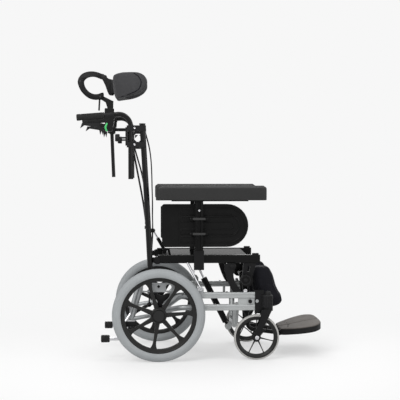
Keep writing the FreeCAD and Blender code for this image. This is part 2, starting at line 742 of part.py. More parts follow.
def tipping_levers():
    """Foot levers behind the wheels, with rubber pads."""
    tube = bent_tube("tip_tube", [("upright_foot_x", "-rail_y - 0.5", "upright_foot_z - upright_r - 14"),
                                  ("upright_foot_x - 46", "-tip_y", "tip_end_z"), ("tip_end_x", "-tip_y", "tip_end_z")],
                     "tip_r", ["30"])
    clamp = box("tip_clamp", ("upright_foot_x - 16", "upright_foot_x + 16"), ("-rail_y - 13", "-rail_y + 12"),
                ("upright_foot_z - upright_r - 30", "upright_foot_z - upright_r * 0.4"))
    frame = [rod("clamp_tool_one", ("upright_foot_x", "-rail_y - 0.5", "upright_foot_z"),
                 ("plate_back_x - 2", "-rail_y - 0.5", "plate_top_z - 18"), "upright_r"),
             rod("clamp_tool_two", ("upright_foot_x", "-rail_y - 0.5", "upright_foot_z"),
                 ("0", "-rail_y - 0.5", "wheel_r"), "upright_r * 0.75")]
    both("tip_levers", fuse("tip_lever", tube, cut("tip_clamp_cut", clamp, *frame)))
    pad = rod("tip_pad", ("tip_end_x - tip_pad_len", "-tip_y", "tip_end_z"), ("tip_end_x", "-tip_y", "tip_end_z"),
              "tip_pad_r")
    both("tip_pads", pad)


def seat_frame():
    """Seat rails with tilt and recline lugs, cross bars and the pan."""
    rail = prism("seat_rail", "YZ", [
        ("-seat_out_y", "seat_rail_low_z"), ("-seat_in_y", "seat_rail_low_z"), ("-seat_in_y", "seat_top_z"),
        ("-seat_out_y", "seat_top_z")], "seat_back_x", "seat_front_x", {"3": (0, 1, 2, 3)})
    lugs = [disc("recline_lug", "recline_x", "recline_z", "recline_lug_r", "-seat_out_y", "-seat_in_y"),
            disc("tilt_lug", "tilt_x", "tilt_z", "tilt_pin_r * 2.2", "-seat_rail_y - 6", "-seat_rail_y + 6"),
            box("tilt_lug_web", ("tilt_x - 20", "tilt_x + 20"), ("-seat_rail_y - 6", "-seat_rail_y + 6"),
                ("tilt_z", "seat_rail_low_z + 1"))]
    bores = [disc("recline_bore", "recline_x", "recline_z", "recline_pin_r + run_gap", "-seat_out_y - 1", "-seat_in_y + 1"),
             disc("tilt_bore", "tilt_x", "tilt_z", "tilt_pin_r + run_gap", "-seat_out_y", "-seat_in_y")]
    both("seat_rails", cut("seat_rail_bored", fuse("seat_rail_whole", rail, *lugs), *bores))
    bar_z = ("seat_top_z - 8 - seat_bar_h", "seat_top_z - 8")
    across = ("-seat_in_y", "seat_in_y")
    bars = [box(f"seat_bar_{index}", (f"{x} - 12", f"{x} + 12"), across, bar_z)
            for index, x in enumerate(("35", "spring_top_x", "pan_front_x - 14"))]
    ears, pins = [], []
    for index, (x, z, low, high, radius) in enumerate((
            ("spring_top_x", "spring_top_z", "spring_top_z", "seat_top_z - 31", "9"),
            ("30", "seat_top_z + 6", "seat_top_z - 9", "seat_top_z + 6", "8"))):
        for way in (-1, 1):
            low_y, high_y = sorted((f"{way} * 8", f"{way} * 14"), key=number)
            ears.append(disc(f"seat_ear_{index}_{way + 1}", x, z, radius, low_y, high_y))
            ears.append(box(f"seat_web_{index}_{way + 1}", (f"{x} - {radius}", f"{x} + {radius}"), (low_y, high_y),
                            (low, high)))
        pins.append(disc(f"seat_pin_{index}", x, z, "spring_pin_r", "-16", "16"))
    node("seat_bars", fuse("front_seat_bars", bars[1], *ears[:4], pins[0]), fuse("rear_seat_bar", bars[0], *ears[4:], pins[1]),
         bars[2])
    pan = prism("pan_slab", "XY", [
        ("pan_back_x + 36", "-seat_in_y"), ("pan_front_x", "-seat_in_y"), ("pan_front_x", "seat_in_y"),
        ("pan_back_x + 36", "seat_in_y")], "seat_top_z - 8", "seat_top_z - 8 + pan_t", {"14": (1, 2)})
    holes = []
    for index in range(4):
        x = f"(pan_back_x + 36 + pan_front_x) / 2 {'+-'[index // 2]} pan_hole_dx / 2"
        y = f"0 {'+-'[index % 2]} pan_hole_dy / 2"
        holes.append(rod(f"pan_hole_{index}", (x, y, "seat_top_z - 20"), (x, y, "seat_top_z + 10"), "pan_hole_r"))
    node("seat_pan", cut("seat_pan_drilled", pan, *holes))


def seat_brackets():
    """Leg hangers under the rails, rail caps, and the knob on the recline pivot."""
    low, high = "-seat_rail_y - 7", "-seat_rail_y + 8"
    hanger = prism("leg_hanger", "XZ", [
        ("knee_x - 14", "seat_rail_low_z"), ("knee_x - 21", "knee_z"), ("knee_x + 21", "knee_z - 2"),
        ("knee_x + 38", "seat_rail_low_z - 20"), ("knee_x + 40", "seat_rail_low_z")], low, high)
    boss = disc("hanger_boss", "knee_x", "knee_z", "knee_pin_r + 11", low, high)
    bore = disc("hanger_bore", "knee_x", "knee_z", "knee_pin_r + run_gap", f"{low} - 1", f"{high} + 1")
    slot = prism("hanger_slot", "XZ", [
        ("knee_x + 6", "seat_rail_low_z - 12"), ("knee_x + 2", "seat_rail_low_z - 38"), ("knee_x + 10", "seat_rail_low_z - 40"),
        ("knee_x + 16", "seat_rail_low_z - 14")], f"{low} - 1", f"{high} + 1")
    hanger = cut("leg_hanger_cut", fuse("leg_hanger_whole", hanger, boss), bore, slot)
    cap = box("rail_cap", ("seat_front_x - 34", "seat_front_x - 6"), ("-seat_rail_y - 8", "-seat_rail_y + 8"),
              ("seat_top_z", "seat_top_z + 7"))
    knob = disc("recline_knob", "recline_x", "recline_z", "recline_pin_r * 1.7", "-seat_out_y - 5", "-seat_out_y")
    both("seat_brackets", hanger, cap, knob)


def armrests():
    """Sockets on the seat rails, sliding posts, side guards and padded tops."""
    wall, gap = "socket_wall", "side_gap"
    outer = box("socket_outer", (f"post_back_x - {gap} - {wall}", f"post_front_x + {gap} + {wall}"),
                (f"-post_out_y - {gap} - {wall}", f"-post_in_y + {gap} + {wall}"), ("socket_low_z", "socket_top_z"))
    inner = box("socket_inner", (f"post_back_x - {gap}", f"post_front_x + {gap}"),
                (f"-post_out_y - {gap}", f"-post_in_y + {gap}"), ("socket_low_z - 1", "socket_top_z + 1"))
    arm = box("socket_arm", ("post_back_x", "post_front_x"), (f"-post_in_y + {gap} + {wall} - 1", "-seat_out_y"),
              ("seat_rail_low_z + 3", "seat_top_z - 3"))
    bolt = disc("socket_bolt", "post_front_x - 6", "socket_low_z + 9", "screw_r",
                f"-post_out_y - {gap} - {wall} - screw_h", f"-post_out_y - {gap} - {wall}")
    both("armrest_sockets", cut("socket", fuse("socket_whole", outer, arm), inner), bolt)
    ring = [("post_back_x", "-post_out_y"), ("post_x - 8", "-post_out_y"), ("post_x - 8", "-post_out_y + 4"),
            ("post_x + 8", "-post_out_y + 4"), ("post_x + 8", "-post_out_y"), ("post_front_x", "-post_out_y"),
            ("post_front_x", "-post_in_y"), ("post_back_x", "-post_in_y")]
    post = prism("arm_post_bar", "XY", ring, "post_low_z", "post_top_z")
    under = box("arm_under_plate", ("arm_plate_back_x", "arm_plate_front_x"),
                ("-post_y - arm_plate_w / 2", "-post_y + arm_plate_w / 2"), ("post_top_z", "post_top_z + arm_plate_t"))
    solid = box("post_solid", ("post_back_x", "post_front_x"), ("-post_out_y", "-post_in_y"), ("post_low_z", "post_top_z"))
    clips = []
    for name, z in (("low", "low_clip_z"), ("high", "high_clip_z")):
        strap = box(f"{name}_clip_strap", ("post_x - clip_w / 2", "post_x + clip_w / 2"),
                    ("-post_out_y - clip_t", "-post_in_y"), (f"{z} - clip_h / 2", f"{z} + clip_h / 2"))
        clips.append(cut(f"{name}_clip", strap, solid))
    screw = disc("post_screw", "post_x", "high_clip_z + 38", "3.5", "-post_out_y - 1", "-post_out_y + 4")
    pair("arm_post", post, under, *clips, screw)
    guards()
    pad = cushion("arm_pad_form", "arm_pad_front_x - arm_pad_back_x", "arm_pad_w", "arm_pad_h", "arm_pad_crown", "4")
    place(pad, "arm_pad_back_x", "-post_y", "arm_pad_low_z")
    pair("arm_pad", pad)


def guards():
    """Side guards with one round end and nested pressed ribs."""
    mid_z = "(guard_low_z + guard_top_z) / 2"
    low, high = "-guard_in_y - guard_t", "-guard_in_y"

    def panel(name, inset, low_y, high_y):
        """The guard's outline, drawn in by an inset."""
        round_x = "guard_front_x - guard_front_r"
        back = "guard_back_x" if inset == "0" else f"guard_back_x + 76 + {inset}"
        slab = prism(name + "_slab", "XZ", [
            (back, f"guard_low_z + {inset}"), (round_x, f"guard_low_z + {inset}"), (round_x, f"guard_top_z - {inset}"),
            (back, f"guard_top_z - {inset}")], low_y, high_y, {"guard_back_r": (0, 3)} if inset == "0" else None)
        end = disc(name + "_end", round_x, mid_z, f"(guard_top_z - guard_low_z) / 2 - {inset}", low_y, high_y)
        return fuse(name, slab, end)

    body = panel("guard_panel", "0", low, high)
    for index in range(4):
        inset = f"{14 + 18 * index}"
        ring = cut(f"guard_rib_{index}", panel(f"rib_outer_{index}", inset, f"{low} - 1", f"{low} + 1"),
                   panel(f"rib_inner_{index}", f"{inset} + 4", f"{low} - 2", f"{low} + 2"))
        body = cut(f"guard_grooved_{index}", body, ring)
    seam = box("guard_seam", ("guard_back_x + 72", "guard_back_x + 74"), (f"{low} - 1", f"{low} + 1"),
               ("guard_low_z - 1", "guard_top_z + 1"))
    pair("side_guard", cut("guard_seamed", body, seam))


def section(width, low, high, crown, bulge):
    """A cushion's cross section in its own plane: flat foot, bowed sides and a crowned top."""
    half = width / 2
    corners = [Vector(0, -half, low), Vector(0, half, low), Vector(0, half, high), Vector(0, -half, high)]
    rise = (low + high) / 2
    return Part.Wire([
        Part.LineSegment(corners[0], corners[1]).toShape(),
        Part.Arc(corners[1], Vector(0, half + bulge, rise), corners[2]).toShape(),
        Part.Arc(corners[2], Vector(0, 0, high + crown), corners[3]).toShape(),
        Part.Arc(corners[3], Vector(0, -half - bulge, rise), corners[0]).toShape()])


def cushion(name, length, width, height, crown, bulge):
    """A padded top: sections along X that draw in towards both ends in a quarter round."""
    long, wide, high = number(length), number(width), number(height)
    crown, bulge, end_r = number(crown), number(bulge), number("arm_pad_end_r")
    turns = [math.radians(15 * step) for step in range(7)]
    ends = [(end_r * (1 - math.sin(turn)), end_r * (1 - math.cos(turn))) for turn in reversed(turns)]
    stations = ends + [(long / 2, 0)] + [(long - at, inset) for at, inset in reversed(ends)]
    wires = []
    for at, inset in stations:
        drop = inset * 0.5
        wire = section(wide - 2 * bulge - 2 * inset, drop, high - crown - drop, crown, bulge)
        wire.translate(Vector(at, 0, 0))
        wires.append(wire)
    item = doc.addObject("Part::Feature", name)
    item.Shape = Part.makeLoft(wires, True, True)
    return item


def back_frame():
    """Back canes with recline plates, a cross bar and the clamps of the push handles."""
    cane = bent_tube("cane", [("cane_foot_x", "-cane_y", "cane_foot_z"), ("cane_mid_x", "-cane_y", "cane_mid_z"),
                              ("cane_top_x", "-cane_y", "cane_top_z")], "cane_r", ["600"])
    cap = rod("cane_cap", ("cane_top_x", "-cane_y", "cane_top_z"), ("cane_top_x", "-cane_y", "cane_top_z + 6"),
              "cane_r + 1.5")
    low, high = "-seat_in_y + side_gap", "-seat_in_y + side_gap + recline_plate_t"
    plate = prism("recline_plate", "XZ", [
        ("cane_foot_x - 12", "recline_z - 12"), ("recline_x", "recline_z - 12"), ("recline_x", "recline_z + 12"),
        ("cane_foot_x - 12", "recline_z + 12")], low, high)
    boss = disc("recline_boss", "recline_x", "recline_z", "12", low, high)
    block = box("recline_block", ("cane_foot_x - 12", "recline_x - recline_lug_r - free_gap"), ("-cane_y", high),
                ("recline_z - 12", "recline_z + 12"))
    pin = disc("recline_pin", "recline_x", "recline_z", "recline_pin_r", "-seat_out_y + 2", low)
    bar_x = "(cane_foot_x + (cane_mid_x - cane_foot_x) * (back_bar_z - cane_foot_z) / (cane_mid_z - cane_foot_z))"
    bar = rod("back_bar", (bar_x, "-cane_y", "back_bar_z"), (bar_x, "0", "back_bar_z"), "back_bar_r")
    ear = box("back_ear", (bar_x, "-22"), ("-14", "-8"), ("back_bar_z - 13", "back_bar_z + 5"))
    ear_end = disc("back_ear_end", "-22", "back_bar_z - 4", "9", "-14", "-8")
    ear_pin = disc("back_ear_pin", "-22", "back_bar_z - 4", "spring_pin_r", "-16", "0")
    clip = box("cable_clip", ("cane_mid_x - 10", "cane_mid_x + 14"), ("-cane_y + cane_r - 6", "-cane_y + cane_r + 2 * cable_r + 1"),
               ("cable_clip_z - 13", "cable_clip_z"))
    side = fuse("cane_side", cane, cap, clip, plate, boss, block, pin, bar, ear, ear_end, ear_pin)
    node("back_canes", fuse("back_canes_whole", side, mirrored(side)))
    blocks = []
    tool = fuse("cane_tool", cane, cap)
    tube = bent_tube("handle_tool", handle_route(), "handle_r + run_gap * 2", ["handle_bend_r"])
    for name, z in (("upper", "upper_clamp_z"), ("lower", "lower_clamp_z")):
        blocks.append(box(f"{name}_clamp", ("handle_x - clamp_w / 2", "cane_top_x + 16"),
                          ("-cane_y - 16", "-cane_y + 16"), (f"{z} - clamp_h / 2", f"{z} + clamp_h / 2")))
    wing = box("clamp_wing", ("handle_x - clamp_w / 2 - 6", "handle_x - clamp_w / 2 + 3"), ("-cane_y - 12", "-cane_y + 12"),
               ("lower_clamp_z - 4", "upper_clamp_z + 4"))
    screw = rod("clamp_screw", ("handle_x - 50", "-cane_y", "upper_clamp_z - 42"),
                ("handle_x - clamp_w / 2", "-cane_y", "upper_clamp_z - 42"), "4")
    knob = rod("clamp_knob", ("handle_x - 68", "-cane_y", "upper_clamp_z - 42"),
               ("handle_x - 48", "-cane_y", "upper_clamp_z - 42"), "15")
    both("handle_clamps", cut("clamps_fitted", fuse("clamps_whole", *blocks, wing, screw, knob), tool, tube))
    headrest_bracket()


def handle_route():
    """The push handle tube's corners: upright, bend, then back to the grip."""
    rise = "(handle_top_z - grip_back_z) * (handle_x - grip_front_x) / (handle_x - grip_back_x)"
    return [("handle_x", "-cane_y", "handle_low_z"), ("handle_x", "-cane_y", "handle_top_z"),
            ("grip_front_x", "-cane_y", f"handle_top_z - {rise}")]


def headrest_bracket():
    """A cross bar between the clamps, with an arm and a block for the headrest post."""
    bar = box("rest_bar", ("handle_x - 14", "handle_x + 14"), ("-cane_y + 16", "cane_y - 16"),
              ("upper_clamp_z - 12", "upper_clamp_z + 12"))
    arm = box("rest_arm", ("rest_post_top_x", "handle_x"), ("-8", "8"), ("upper_clamp_z - 7", "upper_clamp_z + 7"))
    block = box("rest_block", ("rest_post_top_x - 14", "rest_post_top_x + 20"), ("-16", "16"),
                ("upper_clamp_z - 16", "upper_clamp_z + 16"))
    bore = rod("rest_bore", ("rest_post_low_x", "0", "rest_post_low_z"), ("rest_post_top_x", "0", "rest_post_top_z"),
               "rest_post_r + run_gap")
    node("headrest_bracket", cut("rest_bracket_bored", fuse("rest_bracket_whole", bar, arm, block), bore))


def control_cables():
    """Release cables held along the back canes, clipped at both ends."""
    below_lower, below_upper = "lower_clamp_z - clamp_h / 2 - 0.9", "upper_clamp_z - clamp_h / 2 - 0.9"
    routes = [
        [("-113", below_lower), ("-104", "880"), ("-93", "822"), ("-82", "765"), ("-71", "706"), ("-62", "648"),
         ("-55", "cable_clip_z + 0.3")],
        [("-106", below_lower), ("-92", "882"), ("-77", "832"), ("-66", "780"), ("-58", "728"), ("-52", "676"),
         ("-48", "630"), ("-46", "cable_clip_z + 0.3")],
        [("-58", below_upper), ("-45", "962"), ("-35", "912"), ("-30", "858"), ("-28", "800"), ("-27", "742"),
         ("-25", "684"), ("-26", "626"), ("-24", "570"), ("-26", "524"), ("-29", "484"), ("-31", "recline_z + 12.3")]]
    cables = []
    for index, route in enumerate(routes):
        y = "-cane_y + cane_r + cable_r + 0.3"
        corners = [(x, y, z) for x, z in route]
        points = [point(*corner) for corner in corners]
        bends = []
        for before, corner, after in zip(points, points[1:], points[2:]):
            turn = (corner - before).getAngle(after - corner)
            run = min((corner - before).Length, (after - corner).Length)
            bends.append(0.45 * run / math.tan(max(turn, 0.01) / 2))
        print("cable", index, "radii", [round(bend) for bend in bends])
        cables.append(bent_tube(f"cable_{index}", corners, "cable_r", bends))
    both("control_cables", *cables)


def push_handles():
    """Height adjustable push handles with grips, housings and release levers."""
    tube = bent_tube("handle_tube_bent", handle_route(), "handle_r", ["handle_bend_r"])
    low, high = "-cane_y - 13", "-cane_y + 13"
    housing = prism("lever_housing", "XZ", [
        ("grip_front_x + 2", "upper_clamp_z + 87"), ("grip_front_x + 44", "upper_clamp_z + 85"),
        ("grip_front_x + 43", "upper_clamp_z + 28"), ("grip_front_x + 34", "upper_clamp_z - 14"),
        ("grip_front_x + 14", "upper_clamp_z - 16"), ("grip_front_x + 2", "upper_clamp_z + 26")], low, high,
        {"5": (0, 1, 3, 4)})
    pivot = ("grip_front_x - 12", "upper_clamp_z + 12")
    lugs = []
    for index, (low_y, high_y) in enumerate((("-cane_y - 10", "-cane_y - 5.5"), ("-cane_y + 5.5", "-cane_y + 10"))):
        lugs.append(disc(f"lever_lug_{index}", *pivot, "7", low_y, high_y))
        lugs.append(box(f"lever_web_{index}", (pivot[0], "grip_front_x + 12"), (low_y, high_y),
                        ("upper_clamp_z + 5", "upper_clamp_z + 19")))
    pin = disc("lever_pin", *pivot, "3", "-cane_y - 10", "-cane_y + 10")
    pair("handle_tube", fuse("handle_whole", tube, housing, *lugs, pin))
    start = handle_route()[2]
    grip = rod("grip_bar", start, ("grip_back_x", "-cane_y", "grip_back_z"), "grip_r")
    pair("handle_grip", grip)
    lever = prism("release_blade", "XZ", [
        ("grip_front_x - 14", "upper_clamp_z + 4"), ("grip_front_x - 2", "upper_clamp_z - 4"),
        ("grip_front_x - 7", "upper_clamp_z - 30"), ("grip_front_x - 12", "upper_clamp_z - 12"),
        ("grip_front_x - 18", "upper_clamp_z - 30"), ("grip_front_x - 24", "upper_clamp_z + 2"),
        ("grip_back_x + 34", "upper_clamp_z + 12"), ("grip_back_x + 16", "upper_clamp_z - 1"),
        ("grip_back_x + 24", "upper_clamp_z + 22"), ("grip_front_x - 20", "upper_clamp_z + 23"),
        ("grip_front_x - 6", "upper_clamp_z + 20")], "-cane_y - 5", "-cane_y + 5")
    boss = disc("release_boss", *pivot, "9", "-cane_y - 5", "-cane_y + 5")
    hole = disc("release_hole", *pivot, "3 + run_gap", "-cane_y - 7", "-cane_y + 7")
    pair("release_lever", cut("release_bored", fuse("release_whole", lever, boss), hole))


def headrest():
    """Sliding post, two curved links and a winged pad on hinges."""
    post = rod("rest_post", ("rest_post_low_x", "0", "rest_post_low_z"), ("rest_post_top_x", "0", "rest_post_top_z"),
               "rest_post_r")
    horn = prism("rest_horn", "XZ", [
        ("rest_post_top_x - 10", "rest_post_top_z - 8"), ("rest_post_top_x + 10", "rest_post_top_z - 8"),
        ("rest_post_top_x + 12", "rest_post_top_z + 42"), ("rest_post_top_x - 2", "rest_post_top_z + 48"),
        ("rest_one_x", "rest_one_z + 10"), ("rest_one_x - 4", "rest_one_z - 8"), ("rest_post_top_x - 24", "rest_post_top_z + 36")],
        "-link_t / 2", "link_t / 2")
    boss = disc("rest_horn_boss", "rest_one_x", "rest_one_z", "rest_boss_r", "-link_t / 2", "link_t / 2")
    pin = disc("rest_pin_one", "rest_one_x", "rest_one_z", "rest_pin_r", "-link_t / 2 - side_gap - link_t", "0")
    lever = rod("rest_lever", ("rest_one_x - 4", "0", "rest_one_z - 6"), ("rest_one_x - 7", "0", "rest_one_z - 62"), "4")
    node("headrest_post", fuse("rest_post_whole", post, horn, boss, pin, lever))
    near = ("-link_t * 1.5 - side_gap", "-link_t / 2 - side_gap")
    mid = ("-link_t / 2", "link_t / 2")
    lower = ring_link("rest_lower", ("rest_one_x", "rest_one_z"), ("rest_two_x", "rest_two_z"), near)
    pin_two = disc("rest_pin_two", "rest_two_x", "rest_two_z", "rest_pin_r", near[0], "link_t / 2")
    hole_one = disc("rest_hole_one", "rest_one_x", "rest_one_z", "rest_pin_r + run_gap", "-link_t * 2 - 2", "2")
    node("headrest_lower_link", cut("rest_lower_bored", fuse("rest_lower_whole", lower, pin_two), hole_one))
    upper = ring_link("rest_upper", ("rest_two_x", "rest_two_z"), ("rest_three_x", "rest_three_z"), mid)
    pin_three = disc("rest_pin_three", "rest_three_x", "rest_three_z", "rest_pin_r", near[0], "link_t / 2")
    hole_two = disc("rest_hole_two", "rest_two_x", "rest_two_z", "rest_pin_r + run_gap", "-link_t", "link_t")
    node("headrest_upper_link", cut("rest_upper_bored", fuse("rest_upper_whole", upper, pin_three), hole_two))
    arm = prism("rest_pad_arm_plate", "XZ", [
        ("rest_three_x - 6", "rest_three_z + 11"), ("rest_three_x - 8", "rest_three_z - 10"),
        ("rest_pad_back_x + 12", "rest_pad_z - 22"), ("rest_pad_back_x + 14", "rest_pad_z + 14")], *near)
    arm_boss = disc("rest_arm_boss", "rest_three_x", "rest_three_z", "rest_boss_r", *near)
    hole_three = disc("rest_hole_three", "rest_three_x", "rest_three_z", "rest_pin_r + run_gap", "-link_t * 2", "0")
    pad = headrest_pad()
    arm = cut("rest_pad_arm_cut", fuse("rest_pad_arm_whole", arm, arm_boss), hole_three, pad)
    node("headrest_pad_arm", arm)
    node("headrest_pad", pad)


def ring_link(name, start, end, span):
    """A flat curved link round the headrest's ring, with a boss on each pivot."""
    centre = point("ring_x", "0", "ring_z")
    angles = [math.degrees(math.atan2(number(z) - centre.z, number(x) - centre.x)) for x, z in (start, end)]
    sweep = (angles[0] - angles[1]) % 360
    width = f"({span[1]}) - ({span[0]})"
    arcs = []
    for part, radius in (("outer", "ring_r"), ("inner", "ring_r - ring_w")):
        item = doc.addObject("Part::Cylinder", f"{name}_{part}")
        item.Angle = sweep if part == "outer" else 360
        bind(item, "Radius", radius)
        bind(item, "Height", width)
        turn = Rotation(Vector(0, 1, 0), -angles[0]) if part == "outer" else Rotation()
        item.Placement.Rotation = turn.multiply(Rotation(Vector(1, 0, 0), -90))
        place(item, "ring_x", span[0], "ring_z")
        arcs.append(item)
    bosses = [disc(f"{name}_boss_{index}", x, z, "rest_boss_r", *span) for index, (x, z) in enumerate((start, end))]
    return fuse(name + "_link", cut(name + "_ring", *arcs), *bosses)


def headrest_pad():
    """A curved pad with side wings: level sections that draw in at top and foot."""
    back, front = number("rest_pad_back_x"), number("rest_pad_back_x + rest_pad_depth")
    half, thick, high = number("rest_pad_w / 2"), number("rest_pad_t"), number("rest_pad_h")
    lean, round_r = number("rest_pad_lean"), number("rest_pad_corner_r")
    wires = []
    levels = ((0, 11, 62), (0.04, 5, 58), (0.15, 1, 50), (0.32, 0, 26), (0.5, 0, 6), (0.68, 0, 0), (0.85, 1, 4), (0.96, 5, 14),
              (1, 11, 24))
    for at, inset, short in levels:
        outer_r, inner_r = round_r - inset, round_r - thick + inset
        out_x, in_x = back + inset, back + thick - inset
        out_y, in_y = half - inset, half - thick + inset
        tip_x, tip_y = front - inset - short, (out_y + in_y) / 2
        diag = math.sqrt(0.5)
        side = []
        for way in (1, -1):
            side.append([
                Vector(out_x, way * (out_y - outer_r)),
                Vector(out_x + outer_r * (1 - diag), way * (out_y - outer_r * (1 - diag))),
                Vector(out_x + outer_r, way * out_y), Vector(tip_x - (out_y - in_y) / 2, way * out_y),
                Vector(tip_x, way * tip_y), Vector(tip_x - (out_y - in_y) / 2, way * in_y),
                Vector(in_x + inner_r, way * in_y),
                Vector(in_x + inner_r * (1 - diag), way * (in_y - inner_r * (1 - diag))),
                Vector(in_x, way * (in_y - inner_r))])
        edges = []
        for points, turned_round in ((side[0], False), (side[1], True)):
            parts = [Part.Arc(*points[0:3]), Part.LineSegment(points[2], points[3]), Part.Arc(*points[3:6]),
                     Part.LineSegment(points[5], points[6]), Part.Arc(*points[6:9])]
            shapes = [part.toShape() for part in parts]
            if turned_round:
                edges.append(Part.LineSegment(side[0][8], side[1][8]).toShape())
                shapes.reverse()
            edges.extend(shapes)
        edges.append(Part.LineSegment(side[1][0], side[0][0]).toShape())
        wire = Part.Wire(Part.__sortEdges__(edges))
        wire.translate(Vector(lean * (0.5 - at), 0, number("rest_pad_z") + high * (at - 0.5)))
        wires.append(wire)
    item = doc.addObject("Part::Feature", "headrest_pad_form")
    item.Shape = Part.makeLoft(wires, True, True)
    return item


def legrests():
    """Elevating legs with knobs, telescopic foot tubes and flip-up footplates."""
    leg_x = "knee_x + 2 + (knee_z - leg_low_z) * 0.07"
    shaft = disc("knee_shaft", "knee_x", "knee_z", "knee_pin_r", "-seat_out_y - 2", "-leg_y")
    knob = disc("knee_knob", "knee_x", "knee_z", "knob_r", "-seat_out_y - 2 - knob_t", "-seat_out_y - 2")
    tube = rod("leg_bar", ("knee_x + 2", "-leg_y", "knee_z"), (leg_x, "-leg_y", "leg_low_z"), "leg_r")
    collar = rod("leg_collar", ("knee_x + 2 + (knee_z - leg_low_z - 26) * 0.07", "-leg_y", "leg_low_z + 26"),
                 (leg_x, "-leg_y", "leg_low_z"), "leg_r + 3")
    start = ("knee_x + 2 + (knee_z - foot_tube_top_z) * 0.07", "-leg_y", "foot_tube_top_z")
    bore_top = ("knee_x + 2 + (knee_z - foot_tube_top_z - 2) * 0.07", "-leg_y", "foot_tube_top_z + 2")
    bore_end = ("knee_x + 2 + (knee_z - leg_low_z + 10) * 0.07", "-leg_y", "leg_low_z - 10")
    bore = rod("leg_bore", bore_top, bore_end, "foot_tube_r + run_gap")
    pad = calf_pad()
    bracket = box("calf_bracket", ("knee_x + 4", "knee_x + 70"), ("-leg_y - leg_r - 8", "-leg_y - 2"),
                  ("knee_z - 40", "knee_z - 14"))
    whole = cut("leg_fitted", fuse("leg_whole", shaft, knob, tube, collar, bracket), bore, pad)
    pair("leg_tube", whole)
    pair("calf_pad", pad)
    corner = ("knee_x + 2 + (knee_z - foot_bend_z + 14) * 0.07", "-leg_y", "foot_bend_z - 14")
    foot = bent_tube("foot_bar", [start, corner, ("flip_x", "-leg_y", "flip_z - 16")], "foot_tube_r", ["34"])
    knuckle = disc("foot_knuckle", "flip_x", "flip_z - 16", "11", "-leg_y - 10", "-leg_y + 10")
    pin = disc("foot_pin", "flip_x", "flip_z - 16", "flip_pin_r", "-leg_y - 16", "-leg_y + 16")
    pair("foot_tube", fuse("foot_whole", foot, knuckle, pin))
    footplates()


def calf_pad():
    """A quilted calf pad: level sections that draw in at top and foot."""
    half, side = number("calf_w / 2"), number("-calf_y")
    spots = ((-110, 77, 122, 0.84), (-104, 66, 136, 0.93), (-88, 56, 152, 1), (-40, 47, 134, 1), (10, 40, 118, 1),
             (46, 36, 106, 1), (56, 38, 101, 0.94), (60, 44, 94, 0.86))
    wires = []
    for drop, back, front, scale in spots:
        wide = half * scale
        corners = [Vector(back, side - wide), Vector(front, side - wide), Vector(front, side + wide), Vector(back, side + wide)]
        bows = [Vector((back + front) / 2, side - wide - 3), Vector(front + 4, side), Vector((back + front) / 2, side + wide + 3),
                Vector(back - 3, side)]
        wire = Part.Wire([Part.Arc(corners[index], bows[index], corners[(index + 1) % 4]).toShape() for index in range(4)])
        wire.translate(Vector(number("knee_x"), 0, number("knee_z") + drop))
        wires.append(wire)
    item = doc.addObject("Part::Feature", "calf_pad_form")
    item.Shape = Part.makeLoft(wires, True, False)
    return item


def footplates():
    """Toe-up soles that flip on pins at the heel."""
    length = "(sole_toe_x - flip_x)"
    edge = [("12", "-sole_gap / 2"), ("12", "-90"), ("48", "-128"), ("88", "-164"), ("116", "-sole_w"), ("146", "-sole_w + 6"),
            (f"{length} - 38", "-142"), (f"{length} - 12", "-93"), (f"{length} - 1", "-42"), (length, "-sole_gap / 2")]
    plate = prism("sole", "XY", edge, "-12", "-12 + sole_t", {"16": (4, 5, 6)})
    lugs = []
    for index, (low, high) in enumerate((("-leg_y - 20", "-leg_y - 10.5"), ("-leg_y + 10.5", "-leg_y + 20"))):
        lugs.append(disc(f"sole_lug_{index}", "0", "0", "11", low, high))
        lugs.append(box(f"sole_web_{index}", ("0", "14"), (low, high), ("-11", "11")))
    bore = disc("sole_bore", "0", "0", "flip_pin_r + run_gap", "-leg_y - 22", "-leg_y + 22")
    whole = cut("sole_bored", fuse("sole_whole", plate, *lugs), bore)
    turned_up = group("sole_tilted", [whole])
    turned_up.Placement.Rotation = Rotation(Vector(0, 1, 0), -1)
    bind(turned_up, "Placement.Rotation.Axis.y", "-1")
    bind(turned_up, "Placement.Rotation.Angle", "sole_slope")
    place(turned_up, "flip_x", "0", "flip_z - 16")
    pair("footplate", turned_up)


def strut(name, foot, top, radius, neck, body_len, rod_r, eye_r, play):
    """A gas spring on the centre line: a cylinder with a foot eye and a rod with a top eye."""
    gap_x, gap_z = f"(({top[0]}) - ({foot[0]}))", f"(({top[1]}) - ({foot[1]}))"
    length = f"sqrt({gap_x} ^ 2 + {gap_z} ^ 2)"

    def along(distance):
        """A point at a distance from the foot pin."""
        return (f"({foot[0]}) + {gap_x} * ({distance}) / {length}", "0", f"({foot[1]}) + {gap_z} * ({distance}) / {length}")

    barrel = rod(name + "_barrel", along(neck), along(f"{body_len} + 18"), radius)
    shank = rod(name + "_shank", along("0"), along(f"{neck} + 1"), "7")
    foot_eye = disc(name + "_foot_eye", *foot, "spring_pin_r + 5", "-7.5", "7.5")
    foot_hole = disc(name + "_foot_hole", *foot, "spring_pin_r + run_gap", "-8.5", "8.5")
    bore = rod(name + "_bore", along(f"{length} * 0.3"), along(f"{body_len} + 19"), f"{rod_r} + run_gap")
    node(name + "_cylinder", cut(name + "_barrel_bored", fuse(name + "_barrel_whole", barrel, shank, foot_eye), foot_hole, bore))
    bar = rod(name + "_bar", along(f"{body_len} + 18 - {length} * 0.22"), along(f"{length} - {eye_r} + 1"), rod_r)
    eye = disc(name + "_top_eye", *top, eye_r, "-6", "6")
    hole = disc(name + "_top_hole", *top, f"spring_pin_r + {play}", "-7", "7")
    node(name + "_rod", cut(name + "_rod_bored", fuse(name + "_rod_whole", bar, eye), hole))


